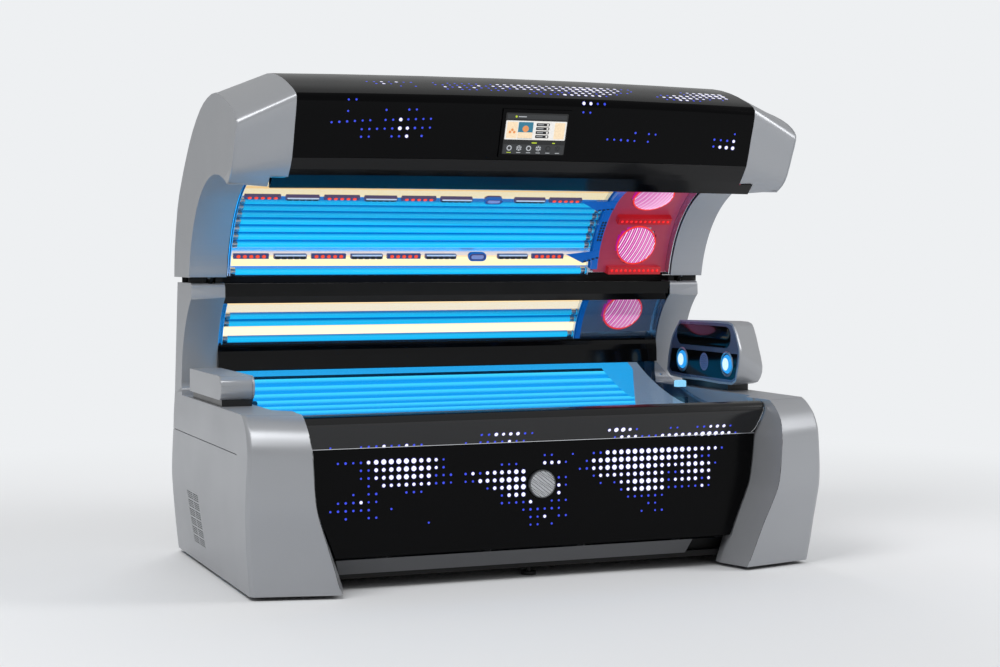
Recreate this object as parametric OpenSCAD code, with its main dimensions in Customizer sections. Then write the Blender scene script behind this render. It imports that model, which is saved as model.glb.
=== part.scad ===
// Lie-down tanning bed with a hinged lamp canopy, a lamp bench and a lamp wall
// between them. Millimetres, +Z up, front towards -Y, head end towards +X,
// origin on the floor under the middle of the bed.

/* [Overall] */
// Length over the end casings
bed_l = 2400; // [2300:10:2500]
// Depth from the front feet to the back panel
bed_d = 1402; // [1380:2:1450]
// Height of the end decks beside the lying surface
deck_z = 681; // [670:1:700]
// Clear gap between the casings and the floor
floor_gap = 15; // [10:1:25]
// Wall of the moulded casings
wall = 5; // [3:0.5:7]

/* [End casings] */
// Width of one front foot at its narrowest, measured along the bed
foot_w = 221; // [200:1:235]
// How far the foot's inner edge leads its outer edge
foot_skew = 80; // [50:1:100]
// Height of the seam slot in the side face
side_seam_z = 528; // [480:1:560]
// Height of the seam slot itself
seam_slot = 3; // [2:0.5:5]
// Top of the rear columns
column_top = 1153; // [1145:1:1155]
// Width of the silver column and canopy bands
band_w = 157; // [140:1:165]

/* [Tunnel] */
// Radius of the canopy's lamp tunnel
tunnel_r = 490; // [480:1:500]
// Height of the tunnel's centre
tunnel_z = 1090; // [1080:1:1100]
// Distance from the back panel forward to the tunnel's centre
tunnel_back = 777; // [765:1:790]
// Radius of the lamp wall behind the lying surface
side_r = 378; // [370:1:386]

/* [Canopy] */
// Gap between the columns and the canopy
canopy_gap = 24; // [20:1:30]
// Height that the black shell gains between the end caps
crown = 12; // [6:1:18]
// Width of the end caps along the bed at their inner edge
cap_w = 215; // [200:1:230]
// Wall of the canopy shells
shell_wall = 6; // [4:0.5:8]
// Width of the control screen
screen_w = 265; // [200:5:320]
// Height of the control screen
screen_h = 170; // [120:5:180]

/* [Hinge] */
// Radius of the canopy's hinge pins
pin_r = 15; // [12:0.5:18]
// Radial running clearance of pins and spindles
run_gap = 0.05; // [0.02:0.01:0.1]
// Radius of the eyes round the hinge pins
eye_r = 22; // [20:0.5:24]
// Thickness of each hinge plate
plate_t = 12; // [8:1:14]

/* [Lamps] */
// Radius of the tanning tubes
tube_r = 16; // [13:0.5:18]
// Radius of the facial lamps
face_lamp_r = 92; // [80:1:98]
// Number of tubes under the lying surface
bench_tubes = 15; // [10:1:16]
// Angle between neighbouring canopy tubes
tube_step = 4.1; // [3.9:0.1:4.4]
// Thickness of the acrylic panes
pane_t = 6; // [4:0.5:8]
// Depth of the lying surface below its two edges
pane_sag = 100; // [70:1:110]

/* [Front panel] */
// Height of the front panel's lower edge
panel_z0 = 132; // [125:1:140]
// Height of the seam under the front rail
panel_z1 = 542; // [500:1:560]
// Set back of the front panel from the feet
panel_back = 181; // [170:1:190]
// Thickness of the front panel
panel_t = 10; // [6:1:14]
// Diameter of the panel's turn knob
knob_d = 110; // [80:1:130]
// Gap round moving panels
gap = 3; // [2:0.5:5]

/* [Pods] */
// Thickness of the head pod along the bed
head_pod_t = 150; // [120:1:160]
// Length of the foot pod from front to back
foot_pod_l = 574; // [480:2:600]
// Radius of the air nozzles
nozzle_r = 44; // [34:1:48]
// Clearance between pieces that seat on each other
seat = 0.3; // [0.2:0.05:0.5]

/* [Hidden] */

silver = [0.61, 0.62, 0.63];
black = [0.03, 0.03, 0.03];
lamp_blue = [0.0, 0.62, 0.94];
warm = [1.0, 0.87, 0.62];
lamp_pink = [1.0, 0.3, 0.75];
led_red = [1.0, 0.1, 0.05];
steel = [0.5, 0.52, 0.55];
pale = [0.8, 0.84, 0.88];

half_l = bed_l / 2;
front_y = -bed_d / 2;
rear_y = bed_d / 2;
tun_y = rear_y - tunnel_back;
side_y = tun_y + 269;
side_z = deck_z + 107;
column_y = side_y + side_r * cos(55) + 8;
column_in = half_l - band_w - 13;
seam_z = column_top + canopy_gap;
panel_y = front_y + panel_back;
pivot_y = tun_y + tunnel_r + 26;
pivot_z = seam_z + 13;
lamp_bed_x0 = -column_in + 20;
lamp_bed_x1 = 612;
end_plate = 3;
face_x0 = lamp_bed_x1 + 40;
face_x1 = column_in - 10;
face_x = (face_x0 + face_x1) / 2 + 14;
tube_circle = tunnel_r + pane_t + tube_r + 13;
reflector_r = tube_circle + tube_r + 10;
rail_gap = 0.6;
level = 64;
box_w = 40;
hinge_x = half_l - 110;
post_x = column_in + 2 * wall;
back_in = 22;
post_gap = 14;
post_y = side_y + side_r + post_gap;
frame_front = front_y + 290;
pane_wall = pane_t * 0.6;

// Lying pane: an arc through its front edge on the rail and its rear edge under the lamp wall
side_foot_z = side_z - 9;
pane_a = [panel_y + 3.5, deck_z - 14];
pane_b = [side_y + side_r - 16, side_foot_z - seat];
chord = norm(pane_b - pane_a);
bench_r = (chord * chord / 4 + pane_sag * pane_sag) / (2 * pane_sag);
chord_dir = unit(pane_b - pane_a);
bench_c = (pane_a + pane_b) / 2 + [-chord_dir[1], chord_dir[0]] * (bench_r - pane_sag);
bench_a0 = 270 - asin((bench_c[0] - pane_a[0]) / bench_r);
bench_a1 = 270 + asin((pane_b[0] - bench_c[0]) / bench_r);
bench_tube_r = bench_r + pane_t + tube_r + 10;
bench_reflector_r = bench_tube_r + tube_r + 8;
function under_bench(y) = bench_c[1] - sqrt(pow(bench_reflector_r + 2, 2) - pow(y - bench_c[0], 2)) - seat;
beam_z = under_bench(frame_front + box_w);
rear_beam_y = side_y + 137;
rear_beam_z = under_bench(rear_beam_y);

// Height, outer set-in, inner set-in, front set-back and flank lean of the front foot
foot_rows = [
    [floor_gap, 27, 132, 57, 45],
    [100, 18, 105, 43, 45],
    [200, 9, 72, 30, 42],
    [300, 2, 36, 11, 36],
    [360, 0, 20, 3, 32],
    [450, 3, 12, 0, 28],
    [540, 8, 8, 1, 24],
    [580, 9, 4, 12, 20],
    [620, 11, 1, 34, 14],
    [648, 13, 0, 64, 8],
    [668, 14, 0, 93, 4],
    [deck_z, 15, 0, 122, 2]
];
foot_scale = deck_z / 681;

// Smooth curve through points, in n steps between neighbours
function blend4(a, b, c, d, t) =
    0.5 * ((2 * b) + (c - a) * t + (2 * a - 5 * b + 4 * c - d) * t * t
    + (3 * b - a - 3 * c + d) * t * t * t);
function curve(p, n) = let (m = len(p) - 1) [
    for (i = [0:m - 1], k = [0:n - 1])
        blend4(p[max(i - 1, 0)], p[i], p[i + 1], p[min(i + 2, m)], k / n),
    p[m]
];
function unit(v) = v / max(norm(v), 0.001);
// Path moved sideways by d, to the left of its direction
function offset_path(p, d) = let (m = len(p) - 1) [
    for (i = [0:m]) let (t = unit(p[min(i + 1, m)] - p[max(i - 1, 0)])) p[i] + d * [-t[1], t[0]]
];
function reversed(p) = [for (i = [len(p) - 1:-1:0]) p[i]];
function polar(r, a) = [r * cos(a), r * sin(a)];

// Solid through rings that all have the same number of points
module loft(rings) {
    n = len(rings[0]);
    m = len(rings);
    sides = [for (j = [0:m - 2], i = [0:n - 1]) let (k = (i + 1) % n)
        each [[j * n + i, (j + 1) * n + i, (j + 1) * n + k], [j * n + i, (j + 1) * n + k, j * n + k]]];
    polyhedron(
        points = [for (r = rings) each r],
        faces = concat([[for (i = [0:n - 1]) i]], sides, [[for (i = [n - 1:-1:0]) (m - 1) * n + i]]),
        convexity = 6);
}

// Shell between two sets of rings, closed at the last ring and open at the first
module cup(outer, inner) {
    n = len(outer[0]);
    m = len(outer);
    base = n * m;
    function side(o, j, i, k) = [[o + j * n + i, o + (j + 1) * n + i, o + (j + 1) * n + k],
        [o + j * n + i, o + (j + 1) * n + k, o + j * n + k]];
    polyhedron(
        points = concat([for (r = outer) each r], [for (r = inner) each r]),
        faces = concat(
            [for (j = [0:m - 2], i = [0:n - 1]) each side(0, j, i, (i + 1) % n)],
            [for (j = [0:m - 2], i = [0:n - 1]) for (f = side(base, j, i, (i + 1) % n)) reversed(f)],
            [for (i = [0:n - 1]) let (k = (i + 1) % n) each [[i, k, base + k], [i, base + k, base + i]]],
            [[for (i = [n - 1:-1:0]) (m - 1) * n + i]],
            [[for (i = [0:n - 1]) base + (m - 1) * n + i]]),
        convexity = 8);
}

// Wall between outer and inner paths, one pair for each place along the bed
module skin(outers, inners) {
    n = len(outers[0]);
    m = len(outers);
    base = n * m;
    function quad(a, b, c, d) = [[a, b, c], [a, c, d]];
    rows = [0:m - 2];
    cells = [0:n - 2];
    polyhedron(
        points = concat([for (r = outers) each r], [for (r = inners) each r]),
        faces = concat(
            [for (j = rows, i = cells) let (a = j * n + i) each quad(a, a + n, a + n + 1, a + 1)],
            [for (j = rows, i = cells) let (a = base + j * n + i) each quad(a + 1, a + n + 1, a + n, a)],
            [for (j = rows) let (a = j * n) each quad(base + a, base + a + n, a + n, a)],
            [for (j = rows) let (a = j * n + n - 1) each quad(a, a + n, base + a + n, base + a)],
            [for (i = cells) each quad(i, i + 1, base + i + 1, base + i)],
            [for (i = cells) let (a = (m - 1) * n + i) each quad(base + a, base + a + 1, a + 1, a)]),
        convexity = 8);
}

// Extrudes a profile drawn in (y, z) from x0 to x1
module along_x(x0, x1) {
    translate([x0, 0, 0]) rotate([90, 0, 90]) linear_extrude(x1 - x0) children();
}

// Ring sector about a centre in (y, z)
module sector(centre, r0, r1, a0, a1) {
    reach = r1 * 2;
    translate(centre) intersection() {
        difference() {
            circle(r1, $fn = 128);
            circle(r0, $fn = 128);
        }
        polygon([[0, 0], polar(reach, a0), polar(reach, (2 * a0 + a1) / 3),
            polar(reach, (a0 + 2 * a1) / 3), polar(reach, a1)]);
    }
}

module x_cylinder(x0, x1, y, z, r) {
    translate([x0, y, z]) rotate([0, 90, 0]) cylinder(r = r, h = x1 - x0, $fn = 48);
}

module y_cylinder(y0, y1, x, z, r) {
    translate([x, y0, z]) rotate([-90, 0, 0]) cylinder(r = r, h = y1 - y0, $fn = 48);
}

module block(x0, x1, y0, y1, z0, z1) {
    translate([x0, y0, z0]) cube([x1 - x0, y1 - y0, z1 - z0]);
}

// End casings: a lofted front foot, a tapered side with the deck, and a column

function foot_z(row) = row[0] > floor_gap ? row[0] * foot_scale : row[0];
function foot_ring(row, inset) =
    let (
        xo = half_l - max(row[1], 0) - inset,
        xi = half_l - foot_w - row[2] + inset,
        yi = front_y + max(row[3], 0) + inset,
        yo = yi + foot_skew,
        xf = xi - row[4],
        edge = 14
    ) [for (q = [
        [xo - edge, yo - edge * foot_skew / foot_w],
        [xo - edge * 0.3, yo + edge * 0.2],
        [xo, yo + edge],
        [xo, nose_y - inset],
        [xf, nose_y - inset],
        [xf, panel_y + 20],
        [xi, yi]
    ]) [q[0], q[1], foot_z(row)]];

// Front foot as a shell that is open to the floor, closed behind by a rib
nose_y = panel_y + 62;
module foot_nose() {
    rows = curve(foot_rows, 2);
    top = len(rows) - 1;
    inner_rows = [for (i = [0:top]) i == top ? rows[top] - [wall / foot_scale, 0, 0, 0, 0] : rows[i]];
    cup([for (r = rows) foot_ring(r, 0)], [for (r = inner_rows) foot_ring(r, wall)]);
}

// Outline of the side face and the deck, as a wall of even thickness
function side_path() = [for (r = curve(foot_rows, 2)) [half_l - max(r[1], 0), foot_z(r)]];
module side_and_deck() {
    outer = side_path();
    under = [for (q = outer) if (q[1] < deck_z - wall) q - [wall, 0]];
    rotate([90, 0, 0]) translate([0, 0, -rear_y]) linear_extrude(rear_y - nose_y) polygon(concat(
        outer, [[column_in, deck_z], [column_in, deck_z - wall], [half_l - 15 - wall, deck_z - wall]],
        reversed(under)));
}

// Inner edge of the deck seen from above, with a skirt down to the lying pane
deck_edge = [
    [half_l - foot_w - 9, nose_y - 1],
    [half_l - foot_w - 9, panel_y + 118],
    [column_in, panel_y + 190],
    [column_in, rear_y - wall]
];
module deck_corner() {
    skirt_h = 130;
    translate([0, 0, deck_z - wall]) linear_extrude(wall)
        polygon(concat(deck_edge, [[column_in + 20, rear_y - wall], [column_in + 20, nose_y - 1]]));
    intersection() {
        translate([0, 0, deck_z - skirt_h]) linear_extrude(skirt_h)
            polygon(concat(deck_edge, reversed(offset_path(deck_edge, -wall))));
        along_x(half_l - foot_w - 20, half_l) translate(bench_c) circle(bench_r + pane_t + 8, $fn = 256);
    }
}

module rear_wall() {
    rotate([90, 0, 0]) translate([0, 0, -rear_y]) linear_extrude(wall) polygon(concat(
        [[column_in, floor_gap]], side_path(), [[column_in, deck_z]]));
}

module foot_casing() {
    difference() {
        union() {
            foot_nose();
            side_and_deck();
            deck_corner();
            rear_wall();
        }
        translate([half_l - 20, panel_y + 75, side_seam_z])
            cube([30, rear_y - panel_y, seam_slot]);
        block(post_x - 4, post_x + box_w + 4, post_y - 4, post_y + box_w + 4, deck_z - 2 * wall, deck_z + 1);
        vent_window(0);
    }
}

module left_foot_casing() {
    color(silver) mirror([1, 0, 0]) foot_casing();
}

module right_foot_casing() {
    color(silver) foot_casing();
}

// Column outline in (y, z): the lamp wall's arc, a fillet to the deck, a rounded top
module column_profile(inset) {
    top = column_top - inset;
    front = column_y + inset;
    waist = side_y + side_r + inset;
    arc_end = side_z + side_r * sin(55);
    corner = 22;
    fillet = 55;
    difference() {
        union() {
            translate([front, deck_z + inset]) square([rear_y - inset - front, top - corner - deck_z - inset]);
            translate([front + corner, deck_z + inset]) square([rear_y - inset - front - corner, top - deck_z - inset]);
            translate([front + corner, top - corner]) circle(corner, $fn = 48);
        }
        translate([side_y, side_z]) circle(side_r + inset, $fn = 128);
        translate([side_y - 10, deck_z - 10]) square([waist - side_y + 10 - fillet, side_z - deck_z + 10]);
        translate([waist - fillet - 1, deck_z + fillet]) square([fillet + 1, side_z - deck_z - fillet]);
        translate([waist - fillet, deck_z + fillet]) circle(fillet, $fn = 64);
    }
}

// Half space outside the leaning outer face of the column, moved inwards by inset
cheek = 15;
module outside_column(inset) {
    translate([half_l - cheek - inset, 0, deck_z]) rotate([0, -atan(cheek / (column_top - deck_z)), 0])
        translate([0, front_y, -30]) cube([90, bed_d + 10, 620]);
}

module column() {
    difference() {
        along_x(column_in, half_l - cheek) column_profile(0);
        along_x(column_in - 1, half_l - cheek + 1) column_profile(wall);
        outside_column(0);
        block(hinge_x - plate_t - 9, hinge_x + 9, pivot_y - 12, pivot_y + 110, column_top - wall - 1, column_top + 1);
        block(post_x - 4, post_x + box_w + 4, post_y - 4, post_y + box_w + 4, deck_z - 1, deck_z + 80);
    }
    difference() {
        intersection() {
            along_x(half_l - 60, half_l - cheek) column_profile(0);
            outside_column(wall);
        }
        outside_column(0);
    }
}

module left_column() {
    color(silver) mirror([1, 0, 0]) column();
}

module right_column() {
    color(silver) column();
}

// Window of the side vent in (y, z), leaning back towards its top
vent_foot = 91;
vent_head = 308;
vent_rows = [rear_y - 575, rear_y - 350, rear_y - 258, rear_y - 503];
module vent_window(shrink) {
    along_x(half_l - 60, half_l + 20) polygon([
        [vent_rows[0] + shrink, vent_foot + shrink], [vent_rows[1] - shrink, vent_foot + shrink],
        [vent_rows[2] - shrink, vent_head - shrink], [vent_rows[3] + shrink, vent_head - shrink]
    ]);
}

// Louvred grille in the side face, in six leaning blocks of fine slits
vent_blocks = 6;
vent_slits = 4;
module vent_grille() {
    outer = side_path();
    pitch = (vent_head - vent_foot - 6) / vent_blocks;
    slit_pitch = (pitch - 5) / vent_slits;
    lean = (vent_rows[3] - vent_rows[0]) / (vent_head - vent_foot);
    difference() {
        intersection() {
            rotate([90, 0, 0]) translate([0, 0, -rear_y]) linear_extrude(rear_y - nose_y)
                polygon(concat(outer, reversed([for (q = outer) q - [wall, 0]])));
            vent_window(seat);
        }
        for (b = [0:vent_blocks - 1], k = [0:vent_slits - 1], c = [0, 1]) {
            z = vent_foot + 6 + b * pitch + k * slit_pitch;
            y = vent_rows[0] + 10 + (z - vent_foot) * lean + c * 108;
            translate([half_l - 60, y, z]) cube([80, 96, 3.2]);
        }
    }
}

module left_vent_grille() {
    color(silver) mirror([1, 0, 0]) vent_grille();
}

module right_vent_grille() {
    color(silver) vent_grille();
}

// Steel frame: two box-section rails, cross members, posts and the hinge brackets
module frame_half() {
    block(0, post_x + box_w, frame_front, frame_front + box_w, level, level + box_w);
    block(0, post_x + box_w, post_y, post_y + box_w, level, level + box_w);
    for (x = [360, post_x])
        block(x, x + box_w, frame_front + box_w, post_y, level, level + box_w);
    block(post_x, post_x + box_w, post_y, post_y + box_w, level + box_w, column_top - 70);
    block(post_x, post_x + box_w, frame_front, frame_front + box_w, level + box_w, deck_z - wall - seat);
    block(post_x, hinge_x, post_y, post_y + box_w, column_top - 110, column_top - 70);
    block(0, post_x + box_w, frame_front, frame_front + box_w, beam_z - box_w, beam_z);
    block(post_x, post_x + box_w, frame_front + box_w, post_y, beam_z - box_w, beam_z);
    block(0, post_x + box_w, rear_beam_y, rear_beam_y + box_w, rear_beam_z - box_w, rear_beam_z);
    block(post_x, post_x + box_w, rear_beam_y, rear_beam_y + box_w, beam_z, rear_beam_z - box_w);
    difference() {
        along_x(hinge_x - plate_t, hinge_x) union() {
            translate([pivot_y, pivot_z]) circle(eye_r, $fn = 64);
            polygon([[pivot_y - eye_r * 0.86, pivot_z - eye_r * 0.5], [pivot_y + 8, pivot_z - 45],
                [post_y, column_top - 160], [post_y + box_w, column_top - 160],
                [post_y + box_w, column_top - 70], [pivot_y + eye_r * 0.7, pivot_z + eye_r * 0.7]]);
        }
        x_cylinder(hinge_x - plate_t - 1, hinge_x + 1, pivot_y, pivot_z, pin_r);
    }
}

module base_frame() {
    color(steel) {
        frame_half();
        mirror([1, 0, 0]) frame_half();
    }
}

module hinge_pins() {
    color(pale) for (side = [-1, 1]) {
        x0 = side > 0 ? hinge_x - plate_t - 6 : -hinge_x - plate_t - 5;
        x_cylinder(x0, x0 + 2 * plate_t + 11, pivot_y, pivot_z, pin_r - 0.01);
    }
}

foot_xs = [-post_x - box_w / 2, 0, post_x + box_w / 2];
module levelling_feet() {
    color(black) for (x = foot_xs, y = [frame_front + box_w / 2, post_y + box_w / 2]) {
        translate([x, y, 0]) cylinder(r = 30, h = 14, $fn = 48);
        translate([x, y, 13]) cylinder(r = 9, h = level - 13, $fn = 32);
    }
}

// Front rail, kick strip and tray between the feet

function flank_rows() = [for (r = curve(foot_rows, 3))
    [r[0] * (r[0] > floor_gap ? foot_scale : 1), half_l - foot_w - r[2] - r[4]]];
function flank_x(z) = lookup(z, flank_rows());

kick_z1 = panel_z0 - 10;
kick_z0 = level;
kick_in = 172;
module kick_strip() {
    lean = 30;
    t = 4;
    function edge(inset) = [for (i = [0:6]) let (z = kick_z0 + (kick_z1 - kick_z0) * i / 6)
        [flank_x(z) - inset, z]];
    left_x = flank_x(kick_z0) - gap - 20;
    right_x = flank_x(kick_z0) - kick_in - 20;
    color([0.3, 0.3, 0.31]) {
        intersection() {
            translate([0, frame_front, 0]) rotate([90, 0, 0]) linear_extrude(frame_front - front_y)
                polygon(concat(edge(kick_in), [for (q = reversed(edge(gap))) [-q[0], q[1]]]));
            along_x(-half_l, half_l) polygon([
                [panel_y + lean, kick_z0], [panel_y + lean + t, kick_z0],
                [panel_y + 2 + t, kick_z1], [panel_y + 2, kick_z1]
            ]);
        }
        for (x = [-0.88 * left_x, -0.46 * left_x, 0.46 * right_x, 0.9 * right_x])
            block(x - 15, x + 15, panel_y + lean, frame_front - seat, kick_z0, kick_z0 + 4);
    }
}

rail_z0 = panel_z1 + gap;
rail_z1 = deck_z - 7;
rail_nose = front_y + 138;
rail_line = curve([
    [panel_y - 2, rail_z0], [panel_y - 18, rail_z0 + 35], [rail_nose + 2, rail_z0 + 85],
    [rail_nose + 4, rail_z1 - 26], [rail_nose + 18, rail_z1 - 8], [panel_y, rail_z1]
], 4);
// Front view of what lies between the feet, a gap clear of their flanks
module between_feet(z0, z1) {
    edge = [for (i = [0:8]) let (z = z0 + (z1 - z0) * i / 8) [flank_x(z) - gap, z]];
    translate([0, nose_y, 0]) rotate([90, 0, 0]) linear_extrude(nose_y - front_y)
        polygon(concat(edge, [for (q = reversed(edge)) [-q[0], q[1]]]));
}

module front_rail() {
    x1 = half_l - foot_w;
    inner = reversed(offset_path(rail_line, -8));
    color(black) intersection() {
        along_x(-x1, x1) polygon(concat(rail_line, inner));
        between_feet(rail_z0 - 5, rail_z1 + 5);
    }
    color(black) for (side = [-1, 1], x = [300, 820])
        block(side * x - 15, side * x + 15, panel_y - 3, frame_front - seat, beam_z - 20, beam_z - 8);
}

module rail_trim() {
    x1 = flank_x(rail_z0) - 2 * gap;
    color(pale) translate([-x1, panel_y - 4.2, rail_z0 - 2.6]) cube([2 * x1, 3, 2.2]);
}

module bottom_tray() {
    color(steel) difference() {
        block(-post_x + 20, post_x - 20, nose_y + 6, rear_y - 40, level - 24, level - seat);
        block(-post_x + 23, post_x - 23, nose_y + 9, rear_y - 43, level - 21, level);
        for (x = foot_xs, y = [frame_front + box_w / 2, post_y + box_w / 2])
            translate([x, y, 0]) cylinder(r = 14, h = level, $fn = 32);
    }
}

inlet_x = -column_in + 130;
inlet_z = level + 46;
module back_panel() {
    slot_l = 120;
    slot_pitch = 16;
    color([0.2, 0.2, 0.21]) difference() {
        block(-column_in + rail_gap, column_in - rail_gap, rear_y - back_in, rear_y - back_in + 4, 50, column_top - 4);
        for (share = [-0.68, -0.24, 0.24, 0.68], row = [0:9])
            translate([share * column_in - slot_l / 2, rear_y - 30, 2 * inlet_z + row * slot_pitch])
                cube([slot_l, 20, 6]);
        y_cylinder(rear_y - 30, rear_y, inlet_x, inlet_z, 11);
    }
}

module mains_inlet() {
    color(black) difference() {
        union() {
            y_cylinder(rear_y - 18 + seat, rear_y - 2, inlet_x, inlet_z, 17);
            y_cylinder(rear_y - 40, rear_y - 18 + seat, inlet_x, inlet_z, 11 - seat);
        }
        y_cylinder(rear_y - 41, rear_y, inlet_x, inlet_z, 6);
    }
}

module ballast_tray() {
    y0 = post_y - 190;
    half = column_in - 470;
    pitch = (2 * half - 16) / 8;
    color(steel) block(-half, half, y0, y0 + 180, level + box_w + seat, level + box_w + 6);
    color(pale) for (i = [0:7])
        translate([-half + 20 + i * pitch, y0 + 20, level + box_w + 6]) cube([110, 140, 64]);
}

// Lamp bench: curved acrylic pane, tubes, reflector and lamp holders

module lying_pane() {
    edge = offset_path(concat([[half_l - foot_w - 9, front_y]], deck_edge), seat);
    color([0.5, 0.8, 0.95, 0.35]) intersection() {
        along_x(-column_in, column_in) sector(bench_c, bench_r, bench_r + pane_t, bench_a0, bench_a1);
        translate([0, 0, deck_z - pane_sag]) linear_extrude(3 * pane_sag)
            polygon(concat(edge, [for (q = reversed(edge)) [-q[0], q[1]]]));
    }
}

module pane_studs() {
    color(pale) for (x = [-column_in + 34, column_in - 34], a = [bench_a0 + 10, bench_a1 - 5])
        translate([x, bench_c[0] + bench_r * cos(a), bench_c[1] + bench_r * sin(a)])
            rotate([a - 270, 0, 0]) cylinder(r = 7, h = 5, $fn = 32);
}

bench_x0 = -deck_edge[0][0] + 45;
holder_t = 14;
function bench_angle(i) = bench_a0 + 2.2 + (bench_a1 - bench_a0 - 4.4) * i / (bench_tubes - 1);
module bench_tubes_set() {
    color(lamp_blue) for (i = [0:bench_tubes - 1]) {
        p = bench_c + polar(bench_tube_r, bench_angle(i));
        x_cylinder(bench_x0, column_in - 260, p[0], p[1], tube_r);
    }
}

module bench_lampholders() {
    color(pale) for (i = [0:bench_tubes - 1], x = [bench_x0 - holder_t, column_in - 260 + seat]) {
        p = bench_c + polar(bench_tube_r, bench_angle(i));
        translate([x, p[0], p[1]]) rotate([bench_angle(i) - 270, 0, 0])
            translate([0, -12, -tube_r - 8 + seat]) cube([holder_t - seat, 24, 2 * tube_r + 6 - seat]);
    }
}

module bench_reflector() {
    color(pale) along_x(bench_x0 - holder_t, holder_t - bench_x0)
        sector(bench_c, bench_reflector_r, bench_reflector_r + 2, bench_a0 + 1.2, bench_a1 - 1);
}

// Lamp wall between the bench and the canopy

side_c = [side_y, side_z];
side_x = column_in - rail_gap;
side_a0 = 15.2;
side_a1 = 45.6;
side_pane_r = side_r + 3 + pane_wall;
side_tube_circle = side_r + 12 + pane_t + tube_r;
side_reflector_r = side_tube_circle + tube_r + 6;
module side_top_rail() {
    y = column_y;
    color(black) along_x(-side_x, side_x) difference() {
        polygon([
            [y, column_top - 4], [y, column_top - 36], [y + 10, column_top - 36], [y + 10, column_top - 58],
            [y + 28, column_top - 58], [y + 33, column_top - 87], [y + 90, column_top - 87], [y + 90, column_top - 4]
        ]);
        sector(side_c, side_r + 3 - seat, side_reflector_r + 3, side_a0, side_a1 + 1.8);
    }
}

module side_lower_rail() {
    y = side_y + side_r;
    color(black) along_x(-side_x, side_x) polygon([
        [y - 8, side_z + 90], [y - 15, side_z + 72], [y - 19, side_z + 48], [y - 21, side_foot_z],
        [y + 40, side_foot_z], [y + 40, side_z + 90]
    ]);
}

module side_pane() {
    color([0.5, 0.8, 0.95, 0.35]) along_x(-side_x, side_x) sector(side_c, side_r + 3, side_pane_r, side_a0, side_a1);
}

module side_tubes() {
    color(lamp_blue) for (a = [17.6, 28, 33.2]) {
        p = side_c + polar(side_tube_circle, a);
        x_cylinder(lamp_bed_x0, lamp_bed_x1, p[0], p[1], tube_r);
    }
}

module side_light_bars() {
    color(warm) along_x(lamp_bed_x0, lamp_bed_x1) {
        sector(side_c, side_tube_circle - 8, side_tube_circle + 8, 20.1, 25.5);
        sector(side_c, side_tube_circle - 8, side_tube_circle + 8, 36.2, 42.2);
    }
}

module side_reflector() {
    color(pale) {
        along_x(-side_x + end_plate / 2, side_x - end_plate / 2)
            sector(side_c, side_reflector_r, side_reflector_r + 2, side_a0 - 1, side_a1 + 1);
        for (x = [-side_x, lamp_bed_x0 - end_plate - seat, lamp_bed_x1 + seat, side_x - end_plate])
            along_x(x, x + end_plate)
                sector(side_c, side_pane_r + seat, side_reflector_r + 1, side_a0, side_a1);
    }
}

module side_divider() {
    color(black) along_x(lamp_bed_x1 + 10, lamp_bed_x1 + 34)
        sector(side_c, side_pane_r + seat, side_reflector_r - seat, side_a0, side_a1);
}

// Domed lamp facing the centre of its arc, backed by the reflector of radius back_r
module facial_lamp(centre, r, back_r, a, x) {
    dome = 16;
    depth = sqrt(back_r * back_r - face_lamp_r * face_lamp_r) - seat - r;
    p = centre + polar(r, a);
    sphere_r = (face_lamp_r * face_lamp_r + dome * dome) / (2 * dome);
    translate([x, p[0], p[1]]) rotate([a - 90, 0, 0]) rotate_extrude($fn = 96) intersection() {
        translate([0, sphere_r]) circle(sphere_r, $fn = 256);
        square([face_lamp_r, depth]);
    }
}

module side_facial_lamp() {
    color(lamp_pink) facial_lamp(side_c, side_r + 16, side_reflector_r, 32.4, face_x);
}

// Head-end pod with a face, a slot, a speaker and two swivelling air nozzles

head_x0 = half_l - 160;
head_x1 = head_x0 + head_pod_t;
pod_y = tun_y + 195;
pod_z = deck_z;
head_outline = [
    [219, 295], [0, 300], [-236, 301], [-287, 278], [-326, 215], [-339, 158], [-315, 75],
    [-273, 32], [0, 34], [308, 38], [338, 100], [310, 190], [281, 236]
];
head_outer = [
    [190, 292], [0, 296], [-158, 297], [-201, 273], [-244, 190], [-278, 110], [-262, 56],
    [-203, 30], [0, 30], [280, 36], [300, 100], [275, 190], [250, 240]
];
function pod_ring(p, x, inset) = let (closed = curve(concat(p, [p[0]]), 2), q = offset_path(closed, inset))
    [for (i = [1:len(q) - 1]) [x, pod_y + q[i][0], pod_z + q[i][1]]];
module head_pod_shell() {
    skin = 9;
    color(silver) cup(
        [
            pod_ring(head_outline, head_x0, 0),
            pod_ring(head_outline, head_x0 + 14, 0),
            pod_ring(head_outer, head_x1 - 8, 0),
            pod_ring(head_outer, head_x1, 8)
        ], [
            pod_ring(head_outline, head_x0, skin),
            pod_ring(head_outline, head_x0 + 14, skin),
            pod_ring(head_outer, head_x1 - 18, skin),
            pod_ring(head_outer, head_x1 - 14, skin + 4)
        ]);
}

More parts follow.
